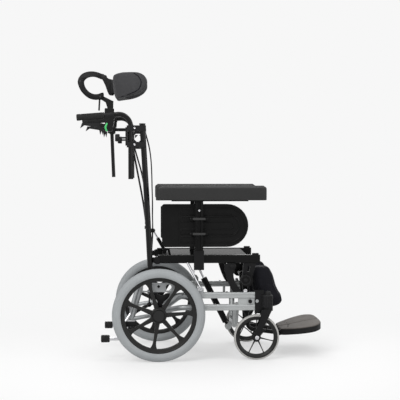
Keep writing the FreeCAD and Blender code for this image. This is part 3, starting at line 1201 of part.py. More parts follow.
def springs():
    """The tilt spring under the seat and the recline spring behind it."""
    strut("tilt", ("spring_x", "spring_z"), ("spring_top_x", "spring_top_z"), "spring_r", "24", "spring_len", "spring_rod_r",
          "9.5", "1.8")
    strut("recline", ("30", "seat_top_z + 6"), ("-22", "back_bar_z - 4"), "8", "12", "46", "4", "9.5", "1.8")


def brake_mount():
    """The clamp and pivot pin of one wheel lock, on the upper rail."""
    mount = box("brake_mount", ("brake_x - 8", "brake_x + 14"), ("-hub_in_y + 4", "-rail_out_y"),
                ("upper_rail_low_z + 2", "brake_z"))
    boss = disc("brake_boss", "brake_x", "brake_z", "10", "-hub_in_y + 4", "-rail_out_y")
    pin = disc("brake_pin", "brake_x", "brake_z", "brake_pin_r", "-hub_in_y - 8", "-rail_out_y")
    return fuse("brake_mount_whole", mount, boss, pin)


def wheel_locks():
    """Levers that press a shoe on the tyre, clamped to the upper rails."""
    low, high = "-hub_in_y - 6", "-hub_in_y + 4 - side_gap"
    lever = rod("brake_bar", ("brake_x", "-hub_in_y - 2.5", "brake_z"), ("brake_x - brake_lean", "-hub_in_y - 2.5", "brake_z + brake_rise"), "4")
    hub = disc("brake_hub", "brake_x", "brake_z", "9", low, high)
    hole = disc("brake_hole", "brake_x", "brake_z", "brake_pin_r + run_gap", "-hub_in_y - 10", "-rail_out_y")
    clip = disc("brake_clip", "brake_x - brake_lean * 0.55", "brake_z + brake_rise * 0.66", "8", low, "-hub_in_y - 1")
    pair("brake_lever", cut("brake_lever_bored", fuse("brake_lever_whole", lever, hub, clip), hole))


BUILDERS = (rear_wheels, casters, base_rails, rear_frame, cross_tube, caster_housings, tilt_brackets, base_fittings,
            tipping_levers, seat_frame, seat_brackets, armrests, back_frame, control_cables, push_handles, headrest,
            legrests, springs, wheel_locks)
for build in BUILDERS:
    build()
doc.recompute()
failed = [item.Name for item in doc.Objects if {"Invalid", "Error"} & set(item.State)]
failed += [item.Label for item in pieces if item.Shape.isNull() or not item.Shape.isValid()]
if failed:
    raise RuntimeError("these objects did not build: " + ", ".join(failed))
os.makedirs("parts", exist_ok=True)
for item in pieces:
    item.Shape.exportStep(f"parts/{item.Label}.step")
print(len(pieces), "sub-parts written")
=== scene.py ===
"""The looks of a tilt-in-space wheelchair, built around its packed frame.

Places are in metres in the shared frame: +X is forward, +Z is up and the occupant's left is +Y.
Most are written in millimetres from the rear axle and go through at().
"""
import math

import bmesh
import bpy
from mathutils import Matrix, Vector


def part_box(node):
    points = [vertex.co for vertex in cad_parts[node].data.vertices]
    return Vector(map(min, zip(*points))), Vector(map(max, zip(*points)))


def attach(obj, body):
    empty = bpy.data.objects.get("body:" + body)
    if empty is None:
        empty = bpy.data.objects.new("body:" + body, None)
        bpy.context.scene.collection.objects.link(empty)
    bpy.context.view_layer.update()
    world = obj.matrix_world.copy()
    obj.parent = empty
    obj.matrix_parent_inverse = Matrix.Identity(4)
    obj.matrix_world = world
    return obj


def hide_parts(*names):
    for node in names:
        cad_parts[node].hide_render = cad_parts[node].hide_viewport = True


bl_info = {
    "name": "Tilt-in-space wheelchair",
    "version": (1, 0, 0),
    "blender": (4, 5, 0),
    "location": "View3D > Sidebar > Wheelchair",
    "description": "Builds the wheels, pads, handles and finishes of a tilt-in-space wheelchair",
    "category": "Object",
}

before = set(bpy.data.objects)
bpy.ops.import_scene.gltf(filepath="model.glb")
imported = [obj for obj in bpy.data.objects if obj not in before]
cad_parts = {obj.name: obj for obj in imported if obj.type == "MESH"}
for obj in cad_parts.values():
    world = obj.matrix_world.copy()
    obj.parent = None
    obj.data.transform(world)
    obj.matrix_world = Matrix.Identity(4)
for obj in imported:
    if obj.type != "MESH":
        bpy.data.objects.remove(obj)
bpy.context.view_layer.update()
SIDES = (("right", 1), ("left", -1))
MM = 0.001
ORIGIN = Vector((0, 0, 0))
# Points closer than this are one point, in metres.
MERGE = 0.00001
# A new flat primitive is turned so that it faces across the chair.
ACROSS = (math.pi / 2, 0, 0)
# One cloth run: its frames and quality, and the smoothing before it.
CLOTH_FRAMES, CLOTH_QUALITY = 20, 5
SMOOTHING, SMOOTHING_RUNS = 0.5, 5
# The left guard is shorter than the right one, to stay hidden behind it in the photograph's view.
LEFT_GUARD_SHARE = 0.91
# Both guards hang this much below their solids, in millimetres.
GUARD_DROP = 4.5
CABLE_Y, CABLE_WIDTH = 185, 0.0044
# How bright the surround is as a light, and how bright it is seen.
SURROUND_LIGHT, SURROUND_SEEN = 0.36, 0.93


def middle(node):
    """The centre of a node's box."""
    low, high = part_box(node)
    return (low + high) / 2


AXLE_X = middle("right_rear_tyre").x


def at(x, y, z):
    """A point given in millimetres from the rear axle's line, the chair's middle and the ground."""
    return Vector((AXLE_X + x * MM, y * MM, z * MM))


def grey(level):
    """A plain grey written as the eye sees it, from 0 to 1."""
    return (level, level, level)


def seen(colour):
    """A colour as the eye sees it, turned into the light that the shader works with."""
    return tuple(c / 12.92 if c <= 0.04045 else ((c + 0.055) / 1.055) ** 2.4 for c in colour) + (1.0,)


def swatch(name, text, colour):
    """One colour that a user may change."""
    return bpy.props.FloatVectorProperty(name=name, description=text, subtype="COLOR", size=3,
                                         min=0, max=1, default=colour)


def length(name, text, value):
    """One length that a user may change."""
    return bpy.props.FloatProperty(name=name, description=text, unit="LENGTH", min=0, default=value)


class WheelchairColours(bpy.types.PropertyGroup):
    """The colours of the wheelchair's finishes, as the eye sees them."""
    rear_tyre: swatch("Rear tyres", "Grey of the solid rear tyres", (0.585, 0.598, 0.605))
    caster_tyre: swatch("Castor tyres", "Pale warm grey of the castor tyres", (0.655, 0.650, 0.640))
    rim: swatch("Wheel rims", "Moulded nylon of rims and spokes", (0.115, 0.115, 0.113))
    aluminium: swatch("Rails", "Satin anodised rails and tubes", (0.66, 0.67, 0.67))
    grey_metal: swatch("Uprights", "Darker grey of uprights and axle plates", (0.60, 0.61, 0.615))
    black_metal: swatch("Black frame", "Powder coat of the seat and back frame", (0.075, 0.075, 0.078))
    black_plastic: swatch("Black plastic", "Moulded housings, knobs and guards", (0.105, 0.105, 0.108))
    vinyl: swatch("Armrests", "Moulded skin of the arm pads", (0.142, 0.142, 0.142))
    headrest: swatch("Headrest", "Knitted cover of the headrest", (0.212, 0.212, 0.217))
    calf: swatch("Calf pads", "Woven nylon of the calf pads", (0.072, 0.072, 0.088))
    sole: swatch("Footplate mats", "Rubber mats on the footplates", (0.350, 0.333, 0.318))
    insert: swatch("Lever inserts", "Green inserts in the lever housings", (0.20, 0.62, 0.33))


class WheelchairSizes(bpy.types.PropertyGroup):
    """Sizes of the details that are added to the frame."""
    tread_depth: length("Tread groove", "Depth of the grooves round the rear tyres", 0.0012)
    piping: length("Piping", "Radius of the piping round the pads", 0.0020)
    grip_flute: length("Grip flute", "Depth of the flutes along the hand grips", 0.0009)
    pad_swell: length("Pad swell", "How far a stuffed pad may swell from its cut shape", 0.0045)


def colours():
    """The scene's chosen colours."""
    return bpy.context.scene.wheelchair_colours


def sizes():
    """The scene's chosen sizes."""
    return bpy.context.scene.wheelchair_sizes


class Value:
    """A number socket that takes part in sums; each sum adds its Math node."""

    def __init__(self, finish, socket):
        self.finish = finish
        self.socket = socket

    def sum(self, operation, *others, flip=False):
        """One Math node on this value and the others."""
        values = [self, *others]
        if flip:
            values.reverse()
        return self.finish.node("ShaderNodeMath", {"operation": operation}, dict(enumerate(values)))

    def __add__(self, other):
        return self.sum("ADD", other)

    def __rsub__(self, other):
        return self.sum("SUBTRACT", other, flip=True)

    def __mul__(self, other):
        return self.sum("MULTIPLY", other)


class Finish:
    """A material whose shader tree is written piece by piece."""

    def __init__(self, name, colour, roughness=0.5, **sockets):
        self.material = bpy.data.materials.new(name)
        self.material.use_nodes = True
        self.tree = self.material.node_tree
        self.shader = self.tree.nodes["Principled BSDF"]
        self.colour = seen(colour)
        self.material.diffuse_color = self.colour
        self.set("Base Color", self.colour)
        self.set("Roughness", roughness)
        for socket, value in sockets.items():
            self.set(socket.replace("_", " ").title().replace("Ior", "IOR"), value)

    def put(self, socket, value):
        """Give one socket a value or a link."""
        if isinstance(value, Value):
            self.tree.links.new(value.socket, socket)
        else:
            socket.default_value = value

    def set(self, name, value):
        """Give one of the shader's own sockets a value or a link."""
        self.put(self.shader.inputs[name], value)

    def node(self, kind, settings=None, values=None, output=0):
        """Any node: its settings first, then its sockets by name or place."""
        item = self.tree.nodes.new(kind)
        for name, value in (settings or {}).items():
            if name == "stops":
                for index, (place, stop) in enumerate(value):
                    stops = item.color_ramp.elements
                    spot = stops[index] if index < 2 else stops.new(place)
                    spot.position = place
                    spot.color = (stop, stop, stop, 1)
            else:
                setattr(item, name, value)
        for name, value in (values or {}).items():
            self.put(item.inputs[name], value)
        return Value(self, item.outputs[output])

    def place(self):
        """The point on the piece, in metres in its own frame."""
        return self.node("ShaderNodeTexCoord", output="Object")

    def stretched(self, x, y, z):
        """The point with each axis scaled, for grain that runs one way."""
        return self.node("ShaderNodeMapping", None, {"Vector": self.place(), "Scale": (x, y, z)})

    def noise(self, scale, detail=3.0, roughness=0.5, where=None, output="Fac"):
        """Cloudy noise from 0 to 1, scale in waves to the metre."""
        return self.node("ShaderNodeTexNoise", None, {"Vector": where or self.place(), "Scale": scale,
                                                      "Detail": detail, "Roughness": roughness}, output)

    def cells(self, scale, feature="F1", where=None):
        """Distance inside a pattern of cells."""
        return self.node("ShaderNodeTexVoronoi", {"feature": feature},
                         {"Vector": where or self.place(), "Scale": scale}, "Distance")

    def ramp(self, value, *stops):
        """A value passed through stops of place and level."""
        return self.node("ShaderNodeValToRGB", {"stops": stops}, {"Fac": value})

    def mix(self, share, first, second):
        """A colour between two."""
        return self.node("ShaderNodeMix", {"data_type": "RGBA"}, {0: share, 6: first, 7: second}, 2)

    def shade(self, share, level):
        """The finish's own colour, lighter or darker by level where share is 1."""
        other = tuple(min(1.0, c * level) for c in self.colour[:3]) + (1.0,)
        self.set("Base Color", self.mix(share, self.colour, other))

    def rough(self, share, low, high):
        """Roughness between two levels."""
        self.set("Roughness", share * (high - low) + low)

    def bump(self, height, depth, soft=None):
        """Relief on the surface, depth in metres."""
        values = {"Height": height, "Distance": depth, "Strength": 1.0}
        if soft is not None:
            values["Normal"] = soft
        self.set("Normal", self.node("ShaderNodeBump", None, values))

    def round_edges(self, radius):
        """A normal that rounds sharp edges, and a mask that is 1 along them."""
        soft = self.node("ShaderNodeBevel", {"samples": 4}, {"Radius": radius})
        sharp = self.node("ShaderNodeNewGeometry", output="Normal")
        match = self.node("ShaderNodeVectorMath", {"operation": "DOT_PRODUCT"}, {0: soft, 1: sharp},
                          "Value")
        return soft, self.ramp(1 - match, (0.004, 0.0), (0.12, 1.0))


def aluminium():
    """Satin anodised aluminium, drawn along the chair."""
    finish = Finish("satin_aluminium", colours().aluminium, metallic=0.72, roughness=0.36)
    soft, edge = finish.round_edges(0.0012)
    draw = finish.noise(900, 2.0, 0.6, finish.stretched(0.05, 1, 1))
    cloud = finish.noise(14, 4.0)
    finish.shade(finish.ramp(cloud, (0.3, 0.0), (0.75, 1.0)) * 0.5 + edge * 0.35, 0.82)
    finish.rough(draw * 0.6 + cloud * 0.4, 0.28, 0.50)
    finish.bump(draw, 0.00004, soft)
    return finish.material


def tube_metal():
    """Lacquered grey tubes and plates, a little cloudy, with worn edges."""
    finish = Finish("lacquered_grey", colours().grey_metal, metallic=0.55, roughness=0.4)
    soft, edge = finish.round_edges(0.001)
    cloud = finish.noise(22, 5.0)
    # Edges painted paler: partly worn paint, partly a painted highlight along the edges. The clouds are
    # random tone.
    finish.shade(edge * 0.6 + finish.ramp(cloud, (0.35, 0.0), (0.7, 1.0)) * 0.25, 1.25)
    finish.rough(cloud, 0.3, 0.52)
    finish.bump(finish.noise(1500, 2.0), 0.00003, soft)
    return finish.material


def powder_coat(name="black_powder_coat", level=None, gloss=0.0, shine=0.12):
    """Black powder coat: fine orange peel, paler where edges are rubbed."""
    finish = Finish(name, level or colours().black_metal, specular_ior_level=shine)
    soft, edge = finish.round_edges(0.0011)
    # Patchy noise on the edge mask: edges painted paler, partly as rubbed wear and partly as a painted
    # highlight.
    wear_and_highlight = finish.noise(60, 4.0)
    finish.shade(edge * finish.ramp(wear_and_highlight, (0.4, 0.15), (0.65, 1.0)), 3.2)
    finish.rough(finish.noise(35, 3.0), 0.34 - gloss, 0.50 - gloss)
    finish.bump(finish.noise(700, 2.0, 0.4), 0.00006, soft)
    return finish.material


def moulded(name, colour, low=0.42, high=0.58, grain=1400, depth=0.00008, shine=0.11):
    """Moulded plastic with a fine spark-eroded grain and slight mottling."""
    finish = Finish(name, colour, specular_ior_level=shine)
    soft, edge = finish.round_edges(0.0009)
    cloud = finish.noise(28, 4.0)
    # The paler edges are a painted highlight; the clouds are random tone.
    finish.shade(edge * 0.5 + finish.ramp(cloud, (0.35, 0.0), (0.7, 1.0)) * 0.3, 1.7)
    finish.rough(cloud, low, high)
    finish.bump(finish.cells(grain) * 0.6 + finish.noise(grain * 1.4, 2.0) * 0.4, depth, soft)
    return finish.material


def rubber(name, colour, low=0.62, high=0.8, dust=0.3):
    """Rubber with fine pores and a trace of dust."""
    finish = Finish(name, colour, specular_ior_level=0.12)
    cloud = finish.noise(18, 5.0, 0.6)
    finish.shade(finish.ramp(cloud, (0.42, 0.0), (0.72, 1.0)) * dust, 1.5)
    finish.rough(cloud, low, high)
    finish.bump(finish.cells(1100) * 0.5 + finish.noise(2200, 2.0) * 0.5, 0.00012)
    return finish.material


def tyre_rubber(name, colour):
    """Solid grey tyre: faint streaks round the wheel, a matt skin and fine pores."""
    finish = Finish(name, colour, specular_ior_level=0.35)
    cloud = finish.noise(11, 5.0, 0.6)
    speck = finish.noise(420, 3.0, 0.7)
    finish.shade(finish.ramp(cloud, (0.35, 0.0), (0.7, 1.0)) * 0.45
                 + finish.ramp(speck, (0.6, 0.0), (0.75, 1.0)) * 0.3, 0.84)
    finish.rough(cloud, 0.55, 0.75)
    finish.bump(speck, 0.00010)
    return finish.material


def chrome():
    """Bright plated steel with fine scratches."""
    finish = Finish("plated_steel", (0.78, 0.78, 0.79), metallic=1.0, roughness=0.16)
    cloud = finish.noise(50, 4.0)
    finish.shade(cloud, 0.88)
    finish.rough(cloud, 0.10, 0.24)
    finish.bump(finish.noise(2600, 1.0), 0.00002)
    return finish.material


def vinyl():
    """Moulded foam skin with a fine leather grain."""
    finish = Finish("moulded_skin", colours().vinyl, specular_ior_level=0.2)
    crease = finish.cells(520, "DISTANCE_TO_EDGE")
    pore = finish.noise(1500, 3.0)
    cloud = finish.noise(16, 4.0)
    finish.shade(finish.ramp(cloud, (0.35, 0.0), (0.75, 1.0)) * 0.35, 1.22)
    finish.rough(cloud * 0.5 + pore * 0.5, 0.40, 0.60)
    finish.bump(finish.ramp(crease, (0.0, 0.0), (0.12, 1.0)) * 0.8 + pore * 0.2, 0.00012)
    return finish.material


def woven(name, colour, thread, sheen, wrinkle):
    """Woven cloth: two crossed threads that pass over each other, with soft creases."""
    finish = Finish(name, colour, specular_ior_level=0.1, sheen_weight=sheen, sheen_roughness=0.45)
    place = finish.place()
    y, z, x = (finish.node("ShaderNodeSeparateXYZ", None, {0: place}, axis) for axis in "YZX")
    across, up = ((line * (2 * math.pi / thread)).sum("SINE") for line in (y + x * 0.7, z))
    weave = across * up * 0.5 + 0.5
    fuzz = finish.noise(900, 3.0, 0.6)
    cloud = finish.noise(13, 4.0, 0.6)
    finish.shade(weave * 0.5 + finish.ramp(cloud, (0.35, 0.0), (0.7, 1.0)) * 0.5, 1.5)
    finish.rough(fuzz, 0.72, 0.92)
    crease = finish.noise(26, 3.0, 0.5, finish.stretched(1, 0.5, 1.4))
    finish.bump(weave * 0.12 + fuzz * 0.08 + crease * wrinkle, 0.002)
    return finish.material


def sole_rubber():
    """Grey-brown footplate mat with a raised pebble pattern."""
    finish = Finish("footplate_mat", colours().sole, specular_ior_level=0.15)
    pebble = finish.cells(260, "SMOOTH_F1")
    cloud = finish.noise(20, 5.0, 0.6)
    finish.shade(finish.ramp(cloud, (0.35, 0.0), (0.7, 1.0)) * 0.5 + pebble * 0.3, 0.8)
    finish.rough(cloud, 0.55, 0.78)
    finish.bump(1 - pebble, 0.0005)
    return finish.material


def green_insert():
    """Bright translucent-looking green moulding."""
    finish = Finish("green_moulding", colours().insert, roughness=0.4, specular_ior_level=0.5)
    cloud = finish.noise(90, 3.0)
    finish.shade(cloud, 1.3)
    finish.rough(cloud, 0.3, 0.5)
    finish.bump(finish.noise(1800, 2.0), 0.00005)
    return finish.material


MAKERS = {
    "aluminium": aluminium,
    "grey_metal": tube_metal,
    "black_metal": powder_coat,
    "clip_grey": lambda: moulded("grey_clips", grey(0.20)),
    "rail_black": lambda: powder_coat("gloss_black_coat", grey(0.045), 0.16, 0.12),
    "tube_black": lambda: powder_coat("gloss_black_tube", grey(0.05), 0.20, 0.2),
    "black_plastic": lambda: moulded("black_moulding", colours().black_plastic),
    "guard_plastic": lambda: moulded("guard_moulding", grey(0.055), 0.36, 0.5, 900, 0.00010, 0.09),
    "rim_plastic": lambda: moulded("rim_nylon", colours().rim, 0.30, 0.44, 1100, 0.00006, 0.18),
    "rear_tyre": lambda: tyre_rubber("grey_tyre", colours().rear_tyre),
    "caster_tyre": lambda: tyre_rubber("pale_tyre", colours().caster_tyre),
    "rubber": lambda: rubber("black_rubber", grey(0.14)),
    "arm_vinyl": vinyl,
    "pad_fabric": lambda: woven("headrest_knit", colours().headrest, 0.0016, 0.10, 0.25),
    "calf_fabric": lambda: woven("calf_nylon", colours().calf, 0.0020, 0.05, 0.7),
    "sole": sole_rubber,
    "hub_cap": lambda: moulded("dull_cap", grey(0.13), 0.5, 0.66, 600, 0.00012, 0.14),
    "pan": lambda: powder_coat("seat_pan_coat", grey(0.05), 0.36, 0.001),
    "cable": lambda: rubber("cable_sheath", grey(0.085), 0.4, 0.55, 0.15),
    "chrome": chrome,
    "insert": green_insert,
}
made_finishes = {}


def finish_of(name):
    """The material of that name, made the first time that it is asked for."""
    if name not in made_finishes:
        made_finishes[name] = MAKERS[name]()
    return made_finishes[name]


def paint(piece, name):
    """Give a whole piece one material."""
    piece.data.materials.clear()
    piece.data.materials.append(finish_of(name))
    return piece


def rest():
    """Back to object mode, with nothing selected."""
    if bpy.context.mode != "OBJECT":
        bpy.ops.object.mode_set(mode="OBJECT")
    bpy.ops.object.select_all(action="DESELECT")


def take(*chosen):
    """Select only these pieces; the first is the active one."""
    rest()
    for piece in chosen:
        piece.select_set(True)
    bpy.context.view_layer.objects.active = chosen[0]


def shape(piece):
    """Start to edit a piece."""
    take(piece)
    bpy.ops.object.mode_set(mode="EDIT")


def settle_place():
    """Put the place, turn and scale of what is selected into its mesh."""
    bpy.ops.object.transform_apply(location=True, rotation=True, scale=True)


def whole_mesh():
    """Select the whole mesh in edit mode."""
    bpy.ops.mesh.select_all(action="SELECT")


def inset(width):
    """Draw an even margin inside the selected faces."""
    bpy.ops.mesh.inset(thickness=width, use_even_offset=True)


def push_out(depth):
    """Extrude the selected faces along their own normals; below 0 goes inwards."""
    bpy.ops.mesh.extrude_region_shrink_fatten(TRANSFORM_OT_shrink_fatten={"value": depth})


def shift(move):
    """Move what is selected."""
    bpy.ops.transform.translate(value=move)


def spin(degrees, centre):
    """Turn the selected pieces about a line along Y and keep the turn."""
    bpy.ops.transform.rotate(value=math.radians(degrees), orient_axis="Y", center_override=centre)
    settle_place()


def settle(name):
    """Name a new primitive and put its place into its mesh."""
    piece = bpy.context.object
    piece.name = piece.data.name = name
    settle_place()
    return piece


def block(name, low, high):
    """A block between two corners."""
    rest()
    bpy.ops.mesh.primitive_cube_add(size=1, location=(low + high) / 2, scale=high - low)
    return settle(name)


def pick(kind, test):
    """Select faces, edges or points whose middle and normal pass the test."""
    bpy.ops.mesh.select_mode(type=kind)
    bpy.ops.mesh.select_all(action="DESELECT")
    data = bpy.context.edit_object.data
    mesh = bmesh.from_edit_mesh(data)
    if kind == "FACE":
        found = [face for face in mesh.faces if test(face.calc_center_median(), face.normal)]
    elif kind == "EDGE":
        found = [edge for edge in mesh.edges
                 if test((edge.verts[0].co + edge.verts[1].co) / 2,
                         (edge.verts[1].co - edge.verts[0].co).normalized())]
    else:
        found = [vert for vert in mesh.verts if test(vert.co, vert.normal)]
    for item in found:
        item.select = True
    mesh.select_flush(True)
    bmesh.update_edit_mesh(data)


def flat_face(name, spots, turn=ACROSS):
    """One flat face with its corners at the given points, left in edit mode with all of it selected."""
    rest()
    bpy.ops.mesh.primitive_circle_add(vertices=len(spots), radius=0.05, fill_type="NGON", rotation=turn)
    piece = settle(name)
    shape(piece)
    mesh = bmesh.from_edit_mesh(piece.data)
    for vert, spot in zip(mesh.verts, spots):
        vert.co = spot
    bmesh.update_edit_mesh(piece.data)
    whole_mesh()
    return piece


def draw_out(move):
    """Extrude what is selected."""
    bpy.ops.mesh.extrude_region_move(TRANSFORM_OT_translate={"value": tuple(move)})


def resize(scale, centre):
    """Scale what is selected about a point."""
    bpy.ops.transform.resize(value=scale, center_override=centre)


def even_faces():
    """Merge doubles and turn every face outwards."""
    whole_mesh()
    bpy.ops.mesh.remove_doubles(threshold=MERGE)
    bpy.ops.mesh.normals_make_consistent(inside=False)
    bpy.ops.object.mode_set(mode="OBJECT")


def modify(piece, kind, **values):
    """Add one modifier to the active piece and apply it."""
    item = piece.modifiers.new(kind.lower(), kind)
    for name, value in values.items():
        setattr(item, name, value)
    bpy.ops.object.modifier_apply(modifier=item.name)


def finished(piece, bevel=0.0, segments=2, limit=32, levels=0, smooth=35):
    """Round the edges with modifiers that are applied, and shade the piece."""
    take(piece)
    if bevel:
        modify(piece, "BEVEL", width=bevel, segments=segments, limit_method="ANGLE",
               angle_limit=math.radians(limit), harden_normals=False)
    if levels:
        modify(piece, "SUBSURF", levels=levels, render_levels=levels)
    bpy.ops.object.shade_smooth_by_angle(angle=math.radians(smooth))
    return piece


def turned(name, centre, steps, sides=96, hollow=False):
    """A piece turned about a line along Y, from steps of radius and offset in millimetres."""
    rest()
    radius, offset = steps[0]
    bpy.ops.mesh.primitive_circle_add(vertices=sides, radius=radius * MM,
                                      fill_type="NOTHING" if hollow else "NGON",
                                      location=centre + Vector((0, offset * MM, 0)), rotation=ACROSS)
    piece = settle(name)
    shape(piece)
    bpy.ops.mesh.select_mode(type="VERT")
    whole_mesh()
    for new_radius, new_offset in steps[1:] + (steps[:1] if hollow else []):
        draw_out((0, (new_offset - offset) * MM, 0))
        if abs(new_radius - radius) > 1e-9:
            share = new_radius / radius
            resize((share, 1, share), centre)
        radius, offset = new_radius, new_offset
    even_faces()
    return piece


def twin(piece, name):
    """A copy with its own mesh."""
    take(piece)
    bpy.ops.object.duplicate()
    copy = bpy.context.object
    copy.name = copy.data.name = name
    return copy


def ring_of(piece, count, centre, name):
    """Copies of a piece turned about a line along Y, joined with it."""
    copies = [piece]
    for index in range(1, count):
        copy = twin(piece, f"{name}_{index}")
        spin(360 * index / count, centre)
        copies.append(copy)
    return joined(name, *copies)


def drawn_spoke(spoke, steps, hub):
    """Draw a spoke's outer end out through steps of reach, width and depth."""
    shape(spoke)
    for reach, wide, deep in steps:
        pick("FACE", lambda spot, way: way.x > 0.9)
        draw_out((reach * MM, 0, 0))
        resize((1, deep, wide), hub)


def joined(name, *parts):
    """Several pieces as one."""
    take(*parts)
    bpy.ops.object.join()
    piece = bpy.context.object
    piece.name = piece.data.name = name
    return piece


def other_side(piece, name):
    """The left side's copy of a right-hand piece."""
    copy = twin(piece, name)
    resize((1, -1, 1), ORIGIN)
    settle_place()
    if copy.type == "MESH":
        bpy.ops.object.mode_set(mode="EDIT")
        whole_mesh()
        bpy.ops.mesh.normals_make_consistent(inside=False)
        bpy.ops.object.mode_set(mode="OBJECT")
    return copy


def fit(piece, body, slot, *nodes):
    """Let a finished piece ride on a body, take a slot's finish and stand for nodes."""
    rest()
    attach(piece, body)
    if nodes:
        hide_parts(*nodes)
    return piece


def fit_pair(piece, finish, name, body, slot, *nodes):
    """Paint a right-hand piece, then fit it and its left copy; {} stands for the side."""
    paint(piece, finish)
    left = other_side(piece, name.format("left"))
    piece.name = piece.data.name = name.format("right")
    pair = []
    for side, item in (("right", piece), ("left", left)):
        pair.append(fit(item, body.format(side), slot, *[node.format(side) for node in nodes]))
    return pair


def build_rear_rim():
    """A seven-spoke moulded wheel with a domed hub."""
    low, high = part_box("right_rear_rim")
    hub = middle("right_rear_tyre")
    outer = (high.z - low.z) / 2 / MM
    steps = [(outer, -15.5), (outer - 2, -17), (outer - 5, -17), (outer - 7, -14), (outer - 12, -12.5),
             (outer - 19, -11.5), (outer - 19.5, -8), (outer - 13, -6), (outer - 13, 8),
             (outer - 19.5, 10), (outer - 19, 13), (outer - 6, 16), (outer - 1, 16)]
    ring = finished(turned("rim_ring", hub, steps, 126, True), 0.0008, 2, 25)
    steps = [(12, 19.5), (24, 19.5), (30, 17), (34.5, 11), (35, -14), (34, -19), (31.5, -22.2),
             (28.5, -23.6), (27, -22.4), (26, -20.2), (10, -20.2)]
    core = finished(turned("hub_core", hub, steps, 72), 0.0005, 2, 25)
    spoke = block("spoke", hub + Vector((26, -13, -10)) * MM, hub + Vector((46, 6, 10)) * MM)
    drawn_spoke(spoke, ((20, 0.80, 0.9), (38, 0.80, 0.86), (24, 1.15, 0.96), (16, 1.75, 1.0),
                        (11, 1.9, 1.0)), hub)
    pick("FACE", lambda spot, way: abs(way.y) > 0.7)
    bpy.ops.mesh.inset(thickness=0.0034, use_boundary=True, use_even_offset=True)
    push_out(-0.0032)
    even_faces()
    finished(spoke, 0.0013, 2, 30, 1, 60)
    take(spoke)
    spin(4.0, hub)
    spokes = ring_of(spoke, 7, hub, "spokes")
    steps = [(25, -24), (25, -25.4), (24, -26.4), (20, -26.2), (8, -25.6), (2, -25.5)]
    cap = finished(turned("right_hub_cap", hub, steps, 64), 0.0005, 3, 20)
    fit_pair(cap, "hub_cap", "{}_hub_cap", "{}_rear_wheel", "rim_plastic")
    wheel = joined("right_wheel_moulding", ring, core, spokes)
    fit_pair(wheel, "rim_plastic", "{}_wheel_moulding", "{}_rear_wheel", "rim_plastic", "{}_rear_rim")


def build_rear_tyre():
    """A solid tyre with a flattened tread, side ribs and two grooves."""
    low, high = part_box("right_rear_tyre")
    hub, outer, half = (low + high) / 2, (high.z - low.z) / 2, (high.y - low.y) / 2
    rest()
    bpy.ops.mesh.primitive_torus_add(major_segments=160, minor_segments=40, major_radius=outer - half,
                                     minor_radius=half, location=hub, rotation=ACROSS)
    tyre = settle("right_tyre")

    def out(spot):
        """How far a point is from the axle's line."""
        return math.hypot(spot.x - hub.x, spot.z - hub.z)

    shape(tyre)
    for low_y, high_y in ((0.0035, 0.0075), (-0.0075, -0.0035)):
        pick("FACE", lambda spot, way: out(spot) > outer - 0.003 and low_y < spot.y - hub.y < high_y)
        inset(0.0008)
        push_out(-sizes().tread_depth)
    for way_y in (1, -1):
        pick("FACE", lambda spot, way: abs(out(spot) - outer + 0.0185) < 0.0013
             and (spot.y - hub.y) * way_y > 0)
        inset(0.0004)
        push_out(0.0004)
    even_faces()
    finished(tyre, smooth=50)
    fit_pair(tyre, "rear_tyre", "{}_tyre", "{}_rear_wheel", "rear_tyre", "{}_rear_tyre")


def build_casters():
    """Front wheels: pale tyre, black rim on seven thin spokes, and a bright axle cap."""
    low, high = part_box("right_caster_tyre")
    hub, outer = (low + high) / 2, (high.z - low.z) / 2 / MM
    half = (high.y - low.y) / 2 / MM
    tread = [(outer - 9.5, -half * 0.72), (outer - 7, -half * 0.93), (outer - 4.5, -half * 0.9),
             (outer - 1.6, -half * 0.66), (outer - 0.2, -half * 0.3), (outer, 0),
             (outer - 0.2, half * 0.3), (outer - 1.6, half * 0.66), (outer - 4.5, half * 0.9),
             (outer - 7, half * 0.93), (outer - 9.5, half * 0.72)]
    tyre = finished(turned("right_caster_band", hub, tread, 120, True), 0.0006, 2, 20, 0, 60)
    fit_pair(tyre, "caster_tyre", "{}_caster_band", "{}_caster_wheel", "caster_tyre", "{}_caster_tyre")
    steps = [(outer - 7.5, -11.5), (outer - 10, -12.9), (outer - 16, -12), (outer - 20, -9),
             (outer - 24, -8), (outer - 24.5, -5), (outer - 20, -3), (outer - 20, 3), (outer - 24.5, 5),
             (outer - 24, 8), (outer - 20, 9), (outer - 11, 12.9), (outer - 7.5, 11.5)]
    ring = finished(turned("caster_ring", hub, steps, 112, True), 0.0006, 2, 25)
    steps = [(7, 13.5), (12, 13.5), (14.5, 11), (15, -11), (12, -13.5), (7, -13.5)]
    core = finished(turned("caster_core", hub, steps, 48), 0.0006, 2, 25)
    spoke = block("caster_spoke", hub + Vector((11, -4, -4)) * MM, hub + Vector((22, 4, 4)) * MM)
    drawn_spoke(spoke, ((12, 0.55, 0.85), (28, 0.95, 0.95), (12, 1.25, 1.0), (4, 2.0, 1.1)), hub)
    even_faces()
    finished(spoke, 0.0010, 2, 30, 1, 60)
    take(spoke)
    spin(37.7, hub)
    wheel = joined("right_caster_moulding", ring, core, ring_of(spoke, 7, hub, "caster_spokes"))
    fit_pair(wheel, "rim_plastic", "{}_caster_moulding", "{}_caster_wheel", "rim_plastic",
             "{}_caster_rim")
    fork_low, fork_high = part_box("right_caster_fork")
    for name, face, way in (("outer", fork_low.y, -1), ("inner", fork_high.y, 1)):
        steps = [(9.5, -0.6 * way), (9.5, 0.8 * way), (8, 2.6 * way), (5.2, 3.6 * way), (3.4, 3.7 * way),
                 (3.2, 2.2 * way)]
        centre = Vector((hub.x, face, hub.z))
        cap = finished(turned(f"right_axle_cap_{name}", centre, steps, 40), 0.0004, 2, 25)
        fit_pair(cap, "chrome", "{}_axle_cap_" + name, "{}_caster_fork", "chrome")


